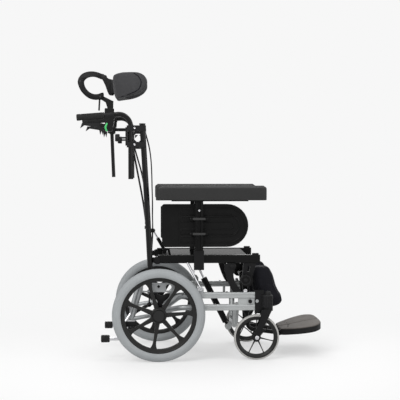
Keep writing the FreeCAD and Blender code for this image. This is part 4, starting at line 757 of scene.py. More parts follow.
def lobed_knob(name, centre, radius, thick, lobes, back=1):
    """A hand knob with rounded lobes, a dished face and a low boss; back is the way to its stem."""
    rest()
    bpy.ops.mesh.primitive_cylinder_add(vertices=lobes * 8, radius=radius, depth=thick, location=centre,
                                        rotation=ACROSS)
    knob = settle(name)
    shape(knob)

    def round_share(spot):
        """Where a point lies within its lobe, from 0 to 1."""
        return (math.atan2(spot.z - centre.z, spot.x - centre.x) / (2 * math.pi / lobes)) % 1

    for share, scale in ((0.5, 0.90), (0.32, 0.955)):
        pick("VERT", lambda spot, way: abs(round_share(spot) - 0.5) < share / 4)
        resize((scale, 1, scale), centre)
    pick("FACE", lambda spot, way: way.y * back < -0.9)
    for scale, lift in ((0.80, 0), (0.96, 0.16), (0.50, 0), (0.94, -0.20)):
        draw_out((0, thick * lift * back, 0))
        resize((scale, 1, scale), centre)
    even_faces()
    return finished(knob, radius * 0.07, 3, 28, 0, 50)


def bolt(name, centre, radius, high, facing):
    """A socket-head bolt whose face points along an axis."""
    turn, out = {"-Y": (ACROSS, Vector((0, -1, 0))), "Z": ((0, 0, 0), Vector((0, 0, 1)))}[facing]
    rest()
    bpy.ops.mesh.primitive_cylinder_add(vertices=36, radius=radius, depth=high, location=centre,
                                        rotation=turn)
    head = settle(name)
    shape(head)
    pick("FACE", lambda spot, way: way.dot(out) > 0.9)
    inset(radius * 0.5)
    draw_out(-out * high * 0.55)
    even_faces()
    return finished(head, radius * 0.14, 2, 28, 0, 40)


def build_fittings():
    """Bolts and rail screws on the base, and the knobs on the leg pivots."""
    bolts = (
        ("gusset_bolt", at(402, -237, 257), 8.6, 5, "black_metal"),
        ("plate_bolt", at(432, -238, 259), 6.2, 4, "chrome"),
        ("rail_cap_bolt", at(381, -227, 303), 8.5, 5, "chrome"))
    for name, place, radius, high, finish in bolts:
        head = bolt("right_" + name, place, radius * MM, high * MM, "-Y")
        fit_pair(head, finish, "{}_" + name, "base", "chrome")
    for index, x in enumerate((234, 300, 389)):
        screw = bolt(f"right_rail_screw_{index}", at(x, -225, 298.9), 4.6 * MM, 2.6 * MM, "Z")
        fit_pair(screw, "black_metal", "{}_rail_screw_" + str(index), "base", "black_metal")
    knob = lobed_knob("right_leg_knob", at(382, -226, 351), 0.0235, 0.019, 9)
    fit_pair(knob, "black_plastic", "{}_leg_knob", "{}_leg", "black_plastic")


def build_arm_pads():
    """Moulded arm pads with a crowned top and round ends, a little larger than the solids."""
    overhang, crown = 0.004, 0.0036
    end_round, top_round, foot_round = 0.019, 0.0085, 0.003
    low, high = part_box("right_arm_pad")
    low, high = low - Vector((overhang, 0, overhang)), high + Vector((overhang, 0, overhang))
    pad = block("right_arm_cushion", low + Vector((0, 0.004, 0)), high - Vector((0, 0.004, 0.005)))
    shape(pad)
    whole_mesh()
    bpy.ops.mesh.subdivide(number_cuts=1)
    for place in (low.x + 0.03, low.x + 0.10, high.x - 0.10, high.x - 0.03):
        whole_mesh()
        bpy.ops.mesh.bisect(plane_co=(place, 0, 0), plane_no=(1, 0, 0))
    centre = (low + high) / 2

    def near_rim(spot):
        """Whether a point lies on a long side or at a rounded end."""
        at_side = abs(abs(spot.y - centre.y) - 0.038) < 0.001
        return at_side or spot.x < low.x + 0.0185 or spot.x > high.x - 0.0185

    pick("EDGE", lambda spot, way: abs(way.z) > 0.9
         and (abs(spot.x - low.x) < 0.001 or abs(spot.x - high.x) < 0.001)
         and abs(spot.y - centre.y) > 0.03)
    bpy.ops.mesh.bevel(offset=end_round, segments=5, affect="EDGES")
    pick("EDGE", lambda spot, way: spot.z > high.z - 0.006 and abs(way.z) < 0.5
         and (abs(spot.y - centre.y) > 0.036 or spot.x < low.x + 0.0195 or spot.x > high.x - 0.0195)
         and near_rim(spot))
    bpy.ops.mesh.bevel(offset=top_round, segments=3, affect="EDGES")
    pick("FACE", lambda spot, way: way.z > 0.9)
    inset(0.012)
    shift((0, 0, crown))
    pick("EDGE", lambda spot, way: spot.z < low.z + 0.001 and abs(way.z) < 0.5
         and near_rim(spot))
    bpy.ops.mesh.bevel(offset=foot_round, segments=2, affect="EDGES")
    even_faces()
    finished(pad, levels=2, smooth=70)
    for item in fit_pair(pad, "arm_vinyl", "{}_arm_cushion", "{}_armrest", "arm_vinyl", "{}_arm_pad"):
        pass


def u_path(back, front, low_z, high_z):
    """Points round a band that runs forward, turns in a half circle and comes back."""
    middle_z, radius = (low_z + high_z) / 2, (high_z - low_z) / 2
    points = [(back, high_z)]
    for step in range(17):
        angle = math.pi / 2 - math.pi * step / 16
        points.append((front - radius + radius * math.cos(angle), middle_z + radius * math.sin(angle)))
    points.append((back, low_z))
    return points


def curve_along(name, kind, points, radius, roundness):
    """A round curve through its control points, and its spline."""
    curve = bpy.data.curves.new(name, "CURVE")
    curve.dimensions, curve.bevel_depth, curve.bevel_resolution = "3D", radius, roundness
    curve.use_fill_caps = True
    spline = curve.splines.new(kind)
    spline.points.add(len(points) - 1)
    for point, spot in zip(spline.points, points):
        point.co = (*spot, 1)
    item = bpy.data.objects.new(name, curve)
    bpy.context.scene.collection.objects.link(item)
    return item, spline


def line_piece(name, points, radius, closed=False, flat=1.0):
    """A round bead along points, made a mesh; flat squeezes it across Y."""
    rest()
    item, spline = curve_along(name, "POLY", points, radius, 3)
    spline.use_cyclic_u = closed
    take(item)
    bpy.ops.object.convert(target="MESH")
    piece = bpy.context.object
    if flat != 1.0:
        resize((1, flat, 1), Vector(points[0]))
        settle_place()
    bpy.ops.object.shade_smooth()
    return piece


def build_guards():
    """Side guards: a pressed panel with one round end, nested U ribs, a seam and small tabs."""
    low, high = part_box("right_side_guard")
    back, front = (low.x - AXLE_X) / MM - 2, (high.x - AXLE_X) / MM
    foot, top = low.z / MM + 1 - GUARD_DROP, high.z / MM - 2 - GUARD_DROP
    outline = [(back + 14, foot), (back, foot + 14), (back, top - 14), (back + 14, top)]
    outline += u_path(front - (top - foot) / 2 - 40, front, foot, top)[1:-1]
    panel = flat_face("right_guard_panel", [at(x, high.y / MM, z) for x, z in outline])
    draw_out((0, low.y - high.y + 0.0008, 0))
    inset(0.004)
    shift((0, -0.0008, 0))
    inset(0.003)
    shift((0, 0.0006, 0))
    even_faces()
    finished(panel, 0.0012, 3, 30, 0, 45)
    ribs = []
    face_y = low.y + 0.0002
    for index, (outer_in, inner_in) in enumerate(((20, 47), (57, 78))):
        outer = u_path(back + 84, front - outer_in * 0.72, foot + outer_in, top - outer_in)
        inner = u_path(back + 84, front - inner_in * 0.85, foot + inner_in, top - inner_in)
        loop = outer + list(reversed(inner))
        points = [Vector((AXLE_X + x * MM, face_y, z * MM)) for x, z in loop]
        ribs.append(line_piece(f"guard_rib_{index}", points, 0.0032, True, 0.75))
    seam = [Vector((AXLE_X + (back + 73) * MM, face_y, z * MM)) for z in (foot + 3, top - 3)]
    ribs.append(line_piece("guard_seam", seam, 0.0011, False, 0.6))
    for index, x in enumerate((back + 62, back + 73)):
        tab = block(f"guard_tab_{index}",
                    Vector((AXLE_X + (x - 1.5) * MM, low.y - 0.0008, (top - 17) * MM)),
                    Vector((AXLE_X + (x + 1.5) * MM, low.y + 0.001, (top - 4) * MM)))
        ribs.append(finished(tab, 0.0006, 2, 30))
    whole = joined("right_guard", panel, *ribs)
    pair = fit_pair(whole, "guard_plastic", "{}_guard", "{}_armrest", "black_plastic", "{}_side_guard")
    take(pair[1])
    resize((1, 1, LEFT_GUARD_SHARE), Vector((0, 0, low.z)))
    settle_place()


def laid_along(piece, start, end):
    """Move a piece made along +Y from the origin so that it runs from start to end."""
    way = (end - start).normalized()
    turn = Vector((0, 1, 0)).rotation_difference(way).to_matrix().to_4x4()
    piece.data.transform(Matrix.Translation(start) @ turn)
    piece.data.update()
    return piece


def build_grips():
    """Fluted rubber hand grips with end flanges and rings."""
    start, end = at(-236, -200, 1072.6), at(-357, -200, 1063)
    long = (end - start).length / MM
    steps = [(14.3, 0), (14.3, 3), (13.6, 4), (13.6, 8), (14.2, 9), (14.2, long - 22),
             (13.5, long - 21), (13.5, long - 18), (14.5, long - 17), (14.5, long - 3),
             (12.8, long - 0.6), (9, long)]
    grip = turned("right_grip", ORIGIN, steps, 96)
    shape(grip)
    pick("FACE", lambda spot, way: spot.y > 0.010 and spot.y < (long - 23) * MM and abs(way.y) < 0.2
         and int(round((math.atan2(spot.z, spot.x) / math.pi + 1) * 48 - 0.5)) % 4 in (0, 1))
    inset(0.0003)
    push_out(-sizes().grip_flute)
    even_faces()
    finished(grip, 0.0003, 1, 40, 0, 40)
    laid_along(grip, start, end)
    fit_pair(grip, "rubber", "{}_grip", "{}_handle", "rubber", "{}_handle_grip")


def smoothed(outline, steps=5):
    """A closed outline with a smooth curve through its points."""
    points = [Vector(point) for point in outline]
    count = len(points)
    curve = []
    for index in range(count):
        before, start, end, after = (points[(index + away) % count] for away in (-1, 0, 1, 2))
        for step in range(steps):
            t = step / steps
            square = (2 * before - 5 * start + 4 * end - after) * t * t
            cube = (3 * start - before - 3 * end + after) * t ** 3
            curve.append(tuple(0.5 * (2 * start + (end - before) * t + square + cube)))
    return curve


def plate_of(name, outline, low_y, high_y, bevel=0.0008):
    """A flat piece with an outline in X and Z in millimetres from the axle, facing across the chair."""
    piece = flat_face(name, [at(x, low_y, z) for x, z in outline])
    draw_out((0, (high_y - low_y) * MM, 0))
    even_faces()
    return finished(piece, bevel, 3, 40, 0, 40) if bevel else piece


def build_headrest_arms():
    """The headrest's two curved links, its pad arm, the pad's mount and the three hinge rivets."""
    lower = [(-247, 1184), (-247, 1164), (-262, 1155), (-283, 1152), (-308, 1157), (-329, 1170),
             (-349, 1192), (-360, 1215), (-364, 1235), (-358, 1247), (-345, 1249), (-335, 1241),
             (-334, 1224), (-326, 1204), (-311, 1188), (-292, 1179), (-272, 1179), (-258, 1184)]
    upper = [(-364, 1234), (-360, 1252), (-345, 1270), (-322, 1280), (-295, 1282), (-270, 1277),
             (-250, 1269), (-234, 1263), (-233, 1251), (-243, 1246), (-256, 1246), (-272, 1252),
             (-290, 1257), (-308, 1256), (-324, 1249), (-334, 1238), (-337, 1225), (-349, 1220),
             (-361, 1223)]
    arm = [(-253, 1270), (-240, 1264), (-226, 1250), (-210, 1245), (-200, 1240), (-198, 1210),
           (-200, 1176), (-210, 1172), (-221, 1175), (-229, 1189), (-238, 1215), (-250, 1240),
           (-258, 1254)]
    for name, outline, low_y, high_y, body, node in (
            ("lower_arc", lower, -14, -5, "headrest_lower_link", "headrest_lower_link"),
            ("upper_arc", upper, -4.5, 4.5, "headrest_upper_link", "headrest_upper_link"),
            ("pad_arm", arm, -14, -5, "headrest_pad", "headrest_pad_arm")):
        piece = plate_of("headrest_" + name, smoothed(outline), low_y, high_y, 0.0022)
        paint(piece, "black_metal")
        fit(piece, body, "black_metal", node)
    for index, (x, z, body) in enumerate(((-261, 1166, "headrest_lower_link"),
                                          (-352, 1236, "headrest_upper_link"),
                                          (-244, 1260, "headrest_upper_link"))):
        steps = [(3.6, -15.6), (4.6, -14.6), (4.6, -14.05), (4.6, 4.4)]
        pin = finished(turned(f"headrest_pin_{index}", at(x, 0, z), steps, 32), 0.0004, 2, 30)
        paint(pin, "clip_grey")
        fit(pin, body, "black_metal")
    mount = finished(block("headrest_mount", at(-212, -34, 1180), at(-196, 34, 1240)), 0.003, 3, 30)
    paint(mount, "black_plastic")
    fit(mount, "headrest_pad", "black_plastic")


def fluted(name, radius, long, count, depth):
    """A sleeve along +Y with flutes round it."""
    steps = [(radius * 0.93, 0), (radius, 2), (radius, 5), (radius, long - 5), (radius, long - 2),
             (radius * 0.9, long)]
    sleeve = turned(name, ORIGIN, steps, count * 4)
    shape(sleeve)
    pick("FACE", lambda spot, way: 0.005 < spot.y < (long - 5) * MM and abs(way.y) < 0.2
         and int(round((math.atan2(spot.z, spot.x) / math.pi + 1) * count * 2 - 0.5)) % 4 in (0, 1))
    inset(0.0003)
    push_out(-depth)
    even_faces()
    return finished(sleeve, 0.0003, 1, 40, 0, 40)


def build_caster_forks():
    """Castor forks with two blades, a bright washer, and the fluted housings with their domed caps."""
    blade = [(451, 221), (492, 221), (487, 203), (480, 187), (467, 161), (452, 132), (447, 116),
             (446, 100), (441, 88), (430, 82), (419, 84), (412, 92), (411, 101), (413, 111), (421, 129),
             (432, 148), (440, 170), (447, 194)]
    outer = plate_of("fork_blade_outer", smoothed(blade, 3), -260, -252.6, 0.0018)
    inner = plate_of("fork_blade_inner", smoothed(blade, 3), -217.4, -210, 0.0018)
    crown = finished(block("fork_crown", at(452, -259, 207), at(491, -211, 221)), 0.0025, 3)
    stem = turned("fork_stem", ORIGIN, [(9, 0), (9, 16)], 32)
    laid_along(stem, at(478, -235, 218), at(478, -235, 234))
    rod = turned("fork_axle", at(430, 0, 100), [(5, -259), (5, -211)], 24)
    fork = joined("right_fork", outer, inner, crown, stem, rod)
    fit_pair(fork, "black_metal", "{}_fork", "{}_caster_fork", "black_metal", "{}_caster_fork")
    steps = [(15, 0), (19, 0.6), (19, 3.2), (13, 4.2)]
    washer = finished(turned("right_fork_washer", ORIGIN, steps, 48), 0.0004, 2)
    laid_along(washer, at(478, -235, 221.5), at(478, -235, 230))
    fit_pair(washer, "chrome", "{}_fork_washer", "{}_caster_fork", "chrome")
    sleeve = fluted("right_housing_sleeve", 25, 55, 22, 0.0014)
    laid_along(sleeve, at(477, -235, 230), at(477, -235, 285))
    fit_pair(sleeve, "black_plastic", "{}_housing_sleeve", "base", "black_metal")
    steps = [(18, 0), (18, 2), (14, 3), (14, 10), (12, 15), (8, 18), (3, 19.5)]
    dome = finished(turned("right_housing_dome", ORIGIN, steps, 48), 0.0006, 2)
    laid_along(dome, at(480, -235, 284), at(480, -235, 300))
    fit_pair(dome, "black_plastic", "{}_housing_dome", "base", "black_metal")


def build_tilt_brackets():
    """Curved brackets up to the tilt pivots, ball knobs on stalks and boots on the tipping levers."""
    outline = [(289, 418), (300, 423), (318, 424), (335, 422), (341, 408), (331, 388), (331, 360),
               (344, 329), (364, 298), (329, 298), (311, 329), (298, 364), (290, 395)]
    bracket = plate_of("right_tilt_bracket", smoothed(outline, 4), -223, -213.6, 0.0018)
    steps = [(6, -229), (8.5, -227.6), (8.5, -222), (5, -221.5), (5, -200)]
    head = finished(turned("tilt_head", at(322, 0, 408), steps, 40), 0.0005, 2)
    bracket = joined("right_tilt_bracket", bracket, head)
    fit_pair(bracket, "black_metal", "{}_tilt_bracket", "base", "black_metal", "tilt_brackets")
    rest()
    bpy.ops.mesh.primitive_uv_sphere_add(segments=32, ring_count=16, radius=0.0105,
                                         location=at(-41, -236, 246))
    ball = settle("right_ball_knob")
    bpy.ops.object.shade_smooth()
    stalk = line_piece("ball_stalk", [at(-41, -236, 250), at(-40, -234, 282), at(-36, -231, 304)],
                       0.0035)
    ball = joined("right_ball_knob", ball, stalk)
    fit_pair(ball, "rail_black", "{}_ball_knob", "base", "black_plastic")
    boot = finished(block("right_tip_boot", at(-146, -246, 150), at(-96, -224, 173)), 0.004, 4)
    fit_pair(boot, "black_plastic", "{}_tip_boot", "base", "black_plastic")


def build_clamp_webs():
    """Small fillets in the corners between the canes, the handle tubes and their clamps."""
    corners = ((-107, 999, 1, -1), (-73, 999, -1, -1), (-107, 955, 1, 1), (-73, 955, -1, 1))
    webs = []
    for index, (x, z, way_x, way_z) in enumerate(corners):
        outline = [(x, z), (x + 15 * way_x, z), (x, z + 15 * way_z)]
        webs.append(plate_of(f"web_{index}", outline, -206, -194, 0.001))
    webs = joined("right_clamp_webs", *webs)
    fit_pair(webs, "black_plastic", "{}_clamp_webs", "back", "black_plastic")


def build_axle_brackets():
    """Black brackets under the axle plates, with the stub that carries each wheel."""
    outline = [(-23, 297), (-8, 297), (0, 289), (9, 286), (20, 289), (32, 296), (50, 296), (47, 284),
               (39, 271), (24, 260), (16, 246), (12, 215), (10, 190), (-10, 190), (-11, 215), (-8, 246),
               (-4, 260), (-14, 273), (-21, 285)]
    bracket = plate_of("right_axle_bracket", outline, -245, -238, 0.0015)
    steps = [(9, -237), (13, -240), (13, -249), (9, -251), (9, -286)]
    stub = finished(turned("axle_stub", at(0, 0, 203), steps, 40), 0.0005, 2)
    bracket = joined("right_axle_bracket", bracket, stub)
    fit_pair(bracket, "black_metal", "{}_axle_bracket", "base", "black_metal", "axle_brackets")


def build_arm_posts():
    """Grey clips round the arm posts, light ribs along them and a screw near the top."""
    parts = []
    for index, z in enumerate((556, 621.5)):
        band = block(f"clip_{index}", at(152, -264, z - 5), at(201, -258, z + 5))
        tail = block(f"clip_tail_{index}", at(138, -240, z - 4), at(214, -229.6, z + 4))
        for part in (band, tail):
            finished(part, 0.0014, 3)
            parts.append(part)
        for way in (-1, 1):
            ear = finished(block(f"clip_ear_{index}_{way}", at(176.5 + way * 24.5 - 3, -263, z - 4.5),
                                 at(176.5 + way * 24.5 + 3, -230, z + 4.5)), 0.0014, 3)
            parts.append(ear)
    clips = joined("right_post_clips", *parts)
    fit_pair(clips, "clip_grey", "{}_post_clips", "{}_armrest", "black_plastic")
    ribs = []
    for index, x in enumerate((166, 187)):
        rib = block(f"rib_{index}", at(x - 2.2, -262.2, 486), at(x + 2.2, -259, 697))
        ribs.append(finished(rib, 0.0011, 3))
    ribs = joined("right_post_ribs", *ribs)
    fit_pair(ribs, "rail_black", "{}_post_ribs", "{}_armrest", "black_metal")
    screw = bolt("right_post_screw", at(176.5, -262.5, 658), 0.0046, 0.004, "-Y")
    fit_pair(screw, "chrome", "{}_post_screw", "{}_armrest", "chrome")


def build_handle_details():
    """Green inserts and collars on the lever housings, and the clamps' star knobs and screws."""
    outline = [(-227, 1040), (-220, 1038), (-225, 1024), (-226, 1015), (-221, 1004), (-227, 1002),
               (-233, 1012), (-235, 1022)]
    insert = plate_of("right_insert", outline, -214.4, -212.2, 0.0007)
    fit_pair(insert, "insert", "{}_insert", "{}_handle", "black_plastic")
    steps = [(15.6, 0), (17.5, 1.5), (17.5, 16), (16.4, 18), (16.4, 40), (15.2, 42)]
    collar = finished(turned("right_housing_collar", ORIGIN, steps, 64), 0.0008, 2, 28)
    laid_along(collar, at(-192, -200, 1076.3), at(-236, -200, 1072.7))
    fit_pair(collar, "black_plastic", "{}_housing_collar", "{}_handle", "black_plastic")
    knob = lobed_knob("right_star_knob", Vector((0, 0.010, 0)), 0.0165, 0.015, 5)
    laid_along(knob, at(-188, -200, 975), at(-168, -200, 975))
    fit_pair(knob, "black_plastic", "{}_star_knob", "back", "black_plastic")
    for index, z in enumerate((1017, 945)):
        screw = bolt(f"right_clamp_screw_{index}", at(-104, -216.8, z), 4.2 * MM, 2.2 * MM, "-Y")
        fit_pair(screw, "chrome", "{}_clamp_screw_" + str(index), "back", "black_metal")


def build_cables():
    """Release cables down the back canes, each on its own smooth line."""
    routes = (
        ((-113, 932.1), (-104, 880), (-93, 822), (-82, 765), (-71, 706), (-62, 648), (-55, 588.3)),
        ((-106, 932.1), (-92, 882), (-77, 832), (-66, 780), (-58, 728), (-52, 676), (-48, 630),
         (-46, 588.3)),
        ((-58, 1004.1), (-45, 962), (-35, 912), (-30, 858), (-28, 800), (-27, 742), (-25, 684),
         (-26, 626), (-24, 570), (-26, 524), (-29, 484), (-31, 449.3)))
    for side, way in SIDES:
        for index, route in enumerate(routes):
            points = [at(x, -CABLE_Y * way, z) for x, z in route]
            cable, spline = curve_along(f"{side}_cable_{index}", "NURBS", points, CABLE_WIDTH / 2, 4)
            cable.data.resolution_u = spline.resolution_u = 8
            spline.order_u = 3
            spline.use_endpoint_u = True
            paint(cable, "cable")
            fit(cable, "back", "cable", "control_cables")


def cover_of(name, node, voxel, pressure, draw_in, change, trim=None):
    """A padded cover: a node's form, resized, trimmed and drawn in, then blown up as cloth."""
    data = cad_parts[node].data.copy()
    piece = bpy.data.objects.new(name, data)
    bpy.context.scene.collection.objects.link(piece)
    data.name = name
    data.transform(change)
    shape(piece)
    whole_mesh()
    bpy.ops.mesh.remove_doubles(threshold=0.00005)
    bpy.ops.mesh.normals_make_consistent(inside=False)
    rest()
    if trim:
        cutter = plate_of(name + "_trim", smoothed(trim, 4), -200, 200, 0)
        take(piece)
        modify(piece, "BOOLEAN", operation="INTERSECT", object=cutter)
        take(cutter)
        bpy.ops.object.delete()
    take(piece)
    modify(piece, "REMESH", mode="VOXEL", voxel_size=voxel, use_smooth_shade=True)
    modify(piece, "SMOOTH", factor=SMOOTHING, iterations=SMOOTHING_RUNS)
    modify(piece, "DISPLACE", strength=-draw_in, mid_level=0)
    start = [vert.co.copy() for vert in piece.data.vertices]
    cloth = piece.modifiers.new("stuffing", "CLOTH")
    cloth.settings.use_pressure = True
    cloth.settings.uniform_pressure_force = pressure
    cloth.settings.effector_weights.gravity = 0
    cloth.settings.quality = CLOTH_QUALITY
    for step in range(1, CLOTH_FRAMES + 1):
        bpy.context.scene.frame_set(step)
    blown = piece.evaluated_get(bpy.context.evaluated_depsgraph_get())
    reach = sizes().pad_swell
    places = []
    for before, vert in zip(start, blown.data.vertices):
        move = vert.co - before
        places.append(before + move * min(1.0, reach / max(move.length, 1e-9)))
    piece.modifiers.clear()
    for vert, spot in zip(piece.data.vertices, places):
        vert.co = spot
    bpy.context.scene.frame_set(1)
    return piece


def seam_bead(piece, name, place, way, radius):
    """A bead of piping where a plane meets a pad."""
    copy = twin(piece, name)
    shape(copy)
    bpy.ops.mesh.select_mode(type="VERT")
    whole_mesh()
    bpy.ops.mesh.bisect(plane_co=place, plane_no=way)
    bpy.ops.mesh.select_all(action="INVERT")
    bpy.ops.mesh.delete(type="VERT")
    take(copy)
    bpy.ops.object.convert(target="CURVE")
    bead = bpy.context.object
    bead.data.bevel_depth, bead.data.bevel_resolution = radius, 2
    bpy.ops.object.convert(target="MESH")
    bead = bpy.context.object
    bead.name = bead.data.name = name
    bpy.ops.object.shade_smooth()
    return bead


def build_calf_pads():
    """Quilted calf pads: stuffed covers with a seam round each side and two across the face."""
    low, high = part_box("right_calf_pad")
    centre = (low + high) / 2
    lowered = centre + Vector((0, 0, -0.009))
    growth = Matrix.Diagonal((1.15, 1.0, 1.07, 1))
    grow = Matrix.Translation(lowered) @ growth @ Matrix.Translation(-centre)
    pad = cover_of("right_calf_cushion", "right_calf_pad", 0.005, 4.0, 0.003, grow)
    finished(pad, levels=1, smooth=180)
    middle_y = (low.y + high.y) / 2
    for name, y in (("outer", low.y + 0.012), ("inner", high.y - 0.012)):
        bead = seam_bead(pad, f"right_calf_piping_{name}", (0, y, 0), (0, 1, 0), 0.0014)
        fit_pair(bead, "calf_fabric", "{}_calf_piping_" + name, "{}_leg", "calf_fabric")
    for index, z in enumerate((high.z - 0.040, low.z + 0.060)):
        bead = seam_bead(pad, f"right_calf_stitch_{index}", (0, middle_y, z), (0.18, 0, 1), 0.0008)
        fit_pair(bead, "calf_fabric", "{}_calf_stitch_" + str(index), "{}_leg", "calf_fabric")
    for item in fit_pair(pad, "calf_fabric", "{}_calf_cushion", "{}_leg", "calf_fabric", "{}_calf_pad"):
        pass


def build_headrest_pad():
    """The winged headrest pad with a piped seam on each side."""
    wing = [(-201, 1254), (-191, 1263), (-178, 1267), (-160, 1270), (-142, 1271), (-124, 1272),
            (-107, 1272), (-93, 1271), (-80, 1268), (-70, 1264), (-60, 1257), (-53, 1249), (-47, 1238),
            (-45, 1228), (-45, 1218), (-47, 1207), (-52, 1197), (-63, 1187), (-85, 1174), (-116, 1163),
            (-151, 1157), (-176, 1150), (-184, 1149), (-191, 1160), (-197, 1189), (-200, 1222)]
    grow = Matrix.Translation(Vector((0.006, 0, -0.0095)))
    pad = cover_of("headrest_cushion", "headrest_pad", 0.005, 3.0, 0.0015, grow, wing)
    finished(pad, levels=1, smooth=180)
    paint(pad, "pad_fabric")
    outline = [(-186, 1156), (-160, 1161), (-132, 1170), (-103, 1182), (-86, 1193), (-77, 1210),
               (-75, 1224), (-78, 1237), (-89, 1252), (-108, 1265), (-135, 1271), (-165, 1268)]
    for side, way in SIDES:
        spots = []
        for x, z in outline:
            origin = at(x, -320 * way, z)
            hit, spot = pad.ray_cast(origin, Vector((0, way, 0)))[:2]
            if hit:
                spots.append(spot)
        bead = line_piece(f"headrest_piping_{side}", spots, sizes().piping)
        paint(bead, "calf_fabric")
        fit(bead, "headrest_pad", "pad_fabric")
    fit(pad, "headrest_pad", "pad_fabric", "headrest_pad")


def build_footplates():
    """Toe-up footplates: a dark shell with a rounded rim, hinge lugs, a pebbled mat and two screws."""
    edge = [(12, -1.5), (12, -88), (30, -108), (50, -126), (70, -142), (90, -156), (110, -167),
            (128, -174), (146, -177), (162, -172), (176, -160), (187, -143), (194, -124), (198, -100),
            (200, -70), (201, -40), (201, -1.5)]
    slope = math.radians(11.2)
    tilt = Matrix.Translation(at(545, 0, 92)) @ Matrix.Rotation(-slope, 4, "Y")

    def slab(name, points, low_z, high_z):
        """A flat slab of the sole in its own frame."""
        piece = flat_face(name, [Vector((x, y, low_z)) * MM for x, y in points], (0, 0, 0))
        draw_out((0, 0, (high_z - low_z) * MM))
        return piece

    shell = slab("right_sole", edge, -12, 13.5)
    pick("FACE", lambda spot, way: spot.z < -0.011)
    resize((0.95, 0.95, 1), (0.1, -0.08, 0))
    pick("FACE", lambda spot, way: spot.z > 0.013)
    inset(0.0025)
    draw_out((0, 0, -0.0015))
    even_faces()
    finished(shell, 0.0022, 4, 40, 0, 50)
    lugs = []
    for index, (low_y, high_y) in enumerate(((-85, -75.5), (-54.5, -45))):
        lug = finished(turned(f"sole_lug_{index}", Vector((0, low_y * MM, 0)),
                              [(11, 0), (11, high_y - low_y)], 40), 0.0008, 2)
        web = finished(block(f"sole_web_{index}", Vector((0, low_y, -11)) * MM,
                             Vector((16, high_y, 11)) * MM), 0.0008, 2)
        lugs += [lug, web]
    shell = joined("right_sole", shell, *lugs)
    shell.data.transform(tilt)
    mat_edge = [(x * 0.985 + 2, min(-3.2, y * 0.982 - 0.2)) for x, y in edge]
    mat = slab("right_mat", mat_edge, 11.5, 16.2)
    pick("FACE", lambda spot, way: spot.z > 0.016)
    inset(0.004)
    shift((0, 0, 0.0010))
    inset(0.010)
    shift((0, 0, 0.0006))
    even_faces()
    finished(mat, 0.0012, 3, 24, 0, 60)
    mat.data.transform(tilt)
    screws = []
    for index, (x, y) in enumerate(((52, -62), (58, -28))):
        screw = bolt(f"sole_screw_{index}", Vector((x, y, 17.8)) * MM, 0.0036, 0.0022, "Z")
        screws.append(screw)
    screws = joined("right_sole_screws", *screws)
    screws.data.transform(tilt)
    fit_pair(shell, "black_plastic", "{}_sole", "{}_footplate", "black_plastic", "{}_footplate")
    fit_pair(mat, "sole", "{}_mat", "{}_footplate", "sole")
    fit_pair(screws, "black_metal", "{}_sole_screws", "{}_footplate", "black_metal")


def build_tip_pads():
    """Ribbed rubber pads on the tipping levers."""
    low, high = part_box("tip_pads")
    x0, x1, z = (low.x - AXLE_X) / MM, (high.x - AXLE_X) / MM, (low.z + high.z) / 2 / MM
    radius = (high.z - low.z) / 2 / MM
    steps = [(radius * 0.72, 0), (radius * 0.95, 2)]
    for index in range(5):
        start = 3 + index * 6.4
        steps += [(radius * 0.99, start), (radius * 0.99, start + 3.6), (radius * 0.9, start + 4.2),
                  (radius * 0.9, start + 5.4)]
    steps += [(radius * 0.97, x1 - x0 - 2.5), (radius * 0.75, x1 - x0)]
    pad = finished(turned("right_tip_pad", ORIGIN, steps, 48), 0.0004, 2, 30)
    laid_along(pad, at(x0, -200, z), at(x1, -200, z))
    fit_pair(pad, "rubber", "{}_tip_pad", "base", "rubber", "tip_pads")


# Which nodes of the frame take which finish; all others are black plastic.
CAD_FINISHES = {
    "aluminium": "base_rails cross_tube",
    "grey_metal": "rear_frame axle_plates base_fittings",
    "black_metal": "axle_brackets caster_housings tilt_brackets seat_bars seat_brackets "
                   "armrest_sockets headrest_bracket headrest_lower_link headrest_upper_link "
                   "headrest_pad_arm caster_fork",
    "chrome": "tip_levers tilt_rod recline_rod brake_lever",
    "rubber": "tip_pads",
    "rail_black": "seat_rails tilt_cylinder recline_cylinder arm_post leg_tube foot_tube",
    "pan": "seat_pan",
    "tube_black": "back_canes headrest_post handle_tube",
}


def finish_frame():
    """Give every node of the frame its finish."""
    chosen = {node: finish for finish, nodes in CAD_FINISHES.items() for node in nodes.split()}
    for name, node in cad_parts.items():
        plain = name.replace("right_", "").replace("left_", "")
        paint(node, chosen.get(plain, "black_plastic"))


def area_lamp(name, place, target, size, power):
    """A soft square lamp that faces a point."""
    rest()
    bpy.ops.object.light_add(type="AREA", location=place)
    lamp = bpy.context.object
    lamp.name, lamp.data.shape, lamp.data.size, lamp.data.energy = name, "SQUARE", size, power
    lamp.rotation_mode = "QUATERNION"
    lamp.rotation_quaternion = (Vector(target) - Vector(place)).to_track_quat("-Z", "Y")


def shown_ray(tree):
    """1 where a ray comes from the camera, a mirror or glass."""
    path = tree.nodes.new("ShaderNodeLightPath")
    total = path.outputs["Is Camera Ray"]
    for name in ("Is Glossy Ray", "Is Transmission Ray"):
        step = tree.nodes.new("ShaderNodeMath")
        step.operation = "MAXIMUM"
        tree.links.new(total, step.inputs[0])
        tree.links.new(path.outputs[name], step.inputs[1])
        total = step.outputs[0]
    return total


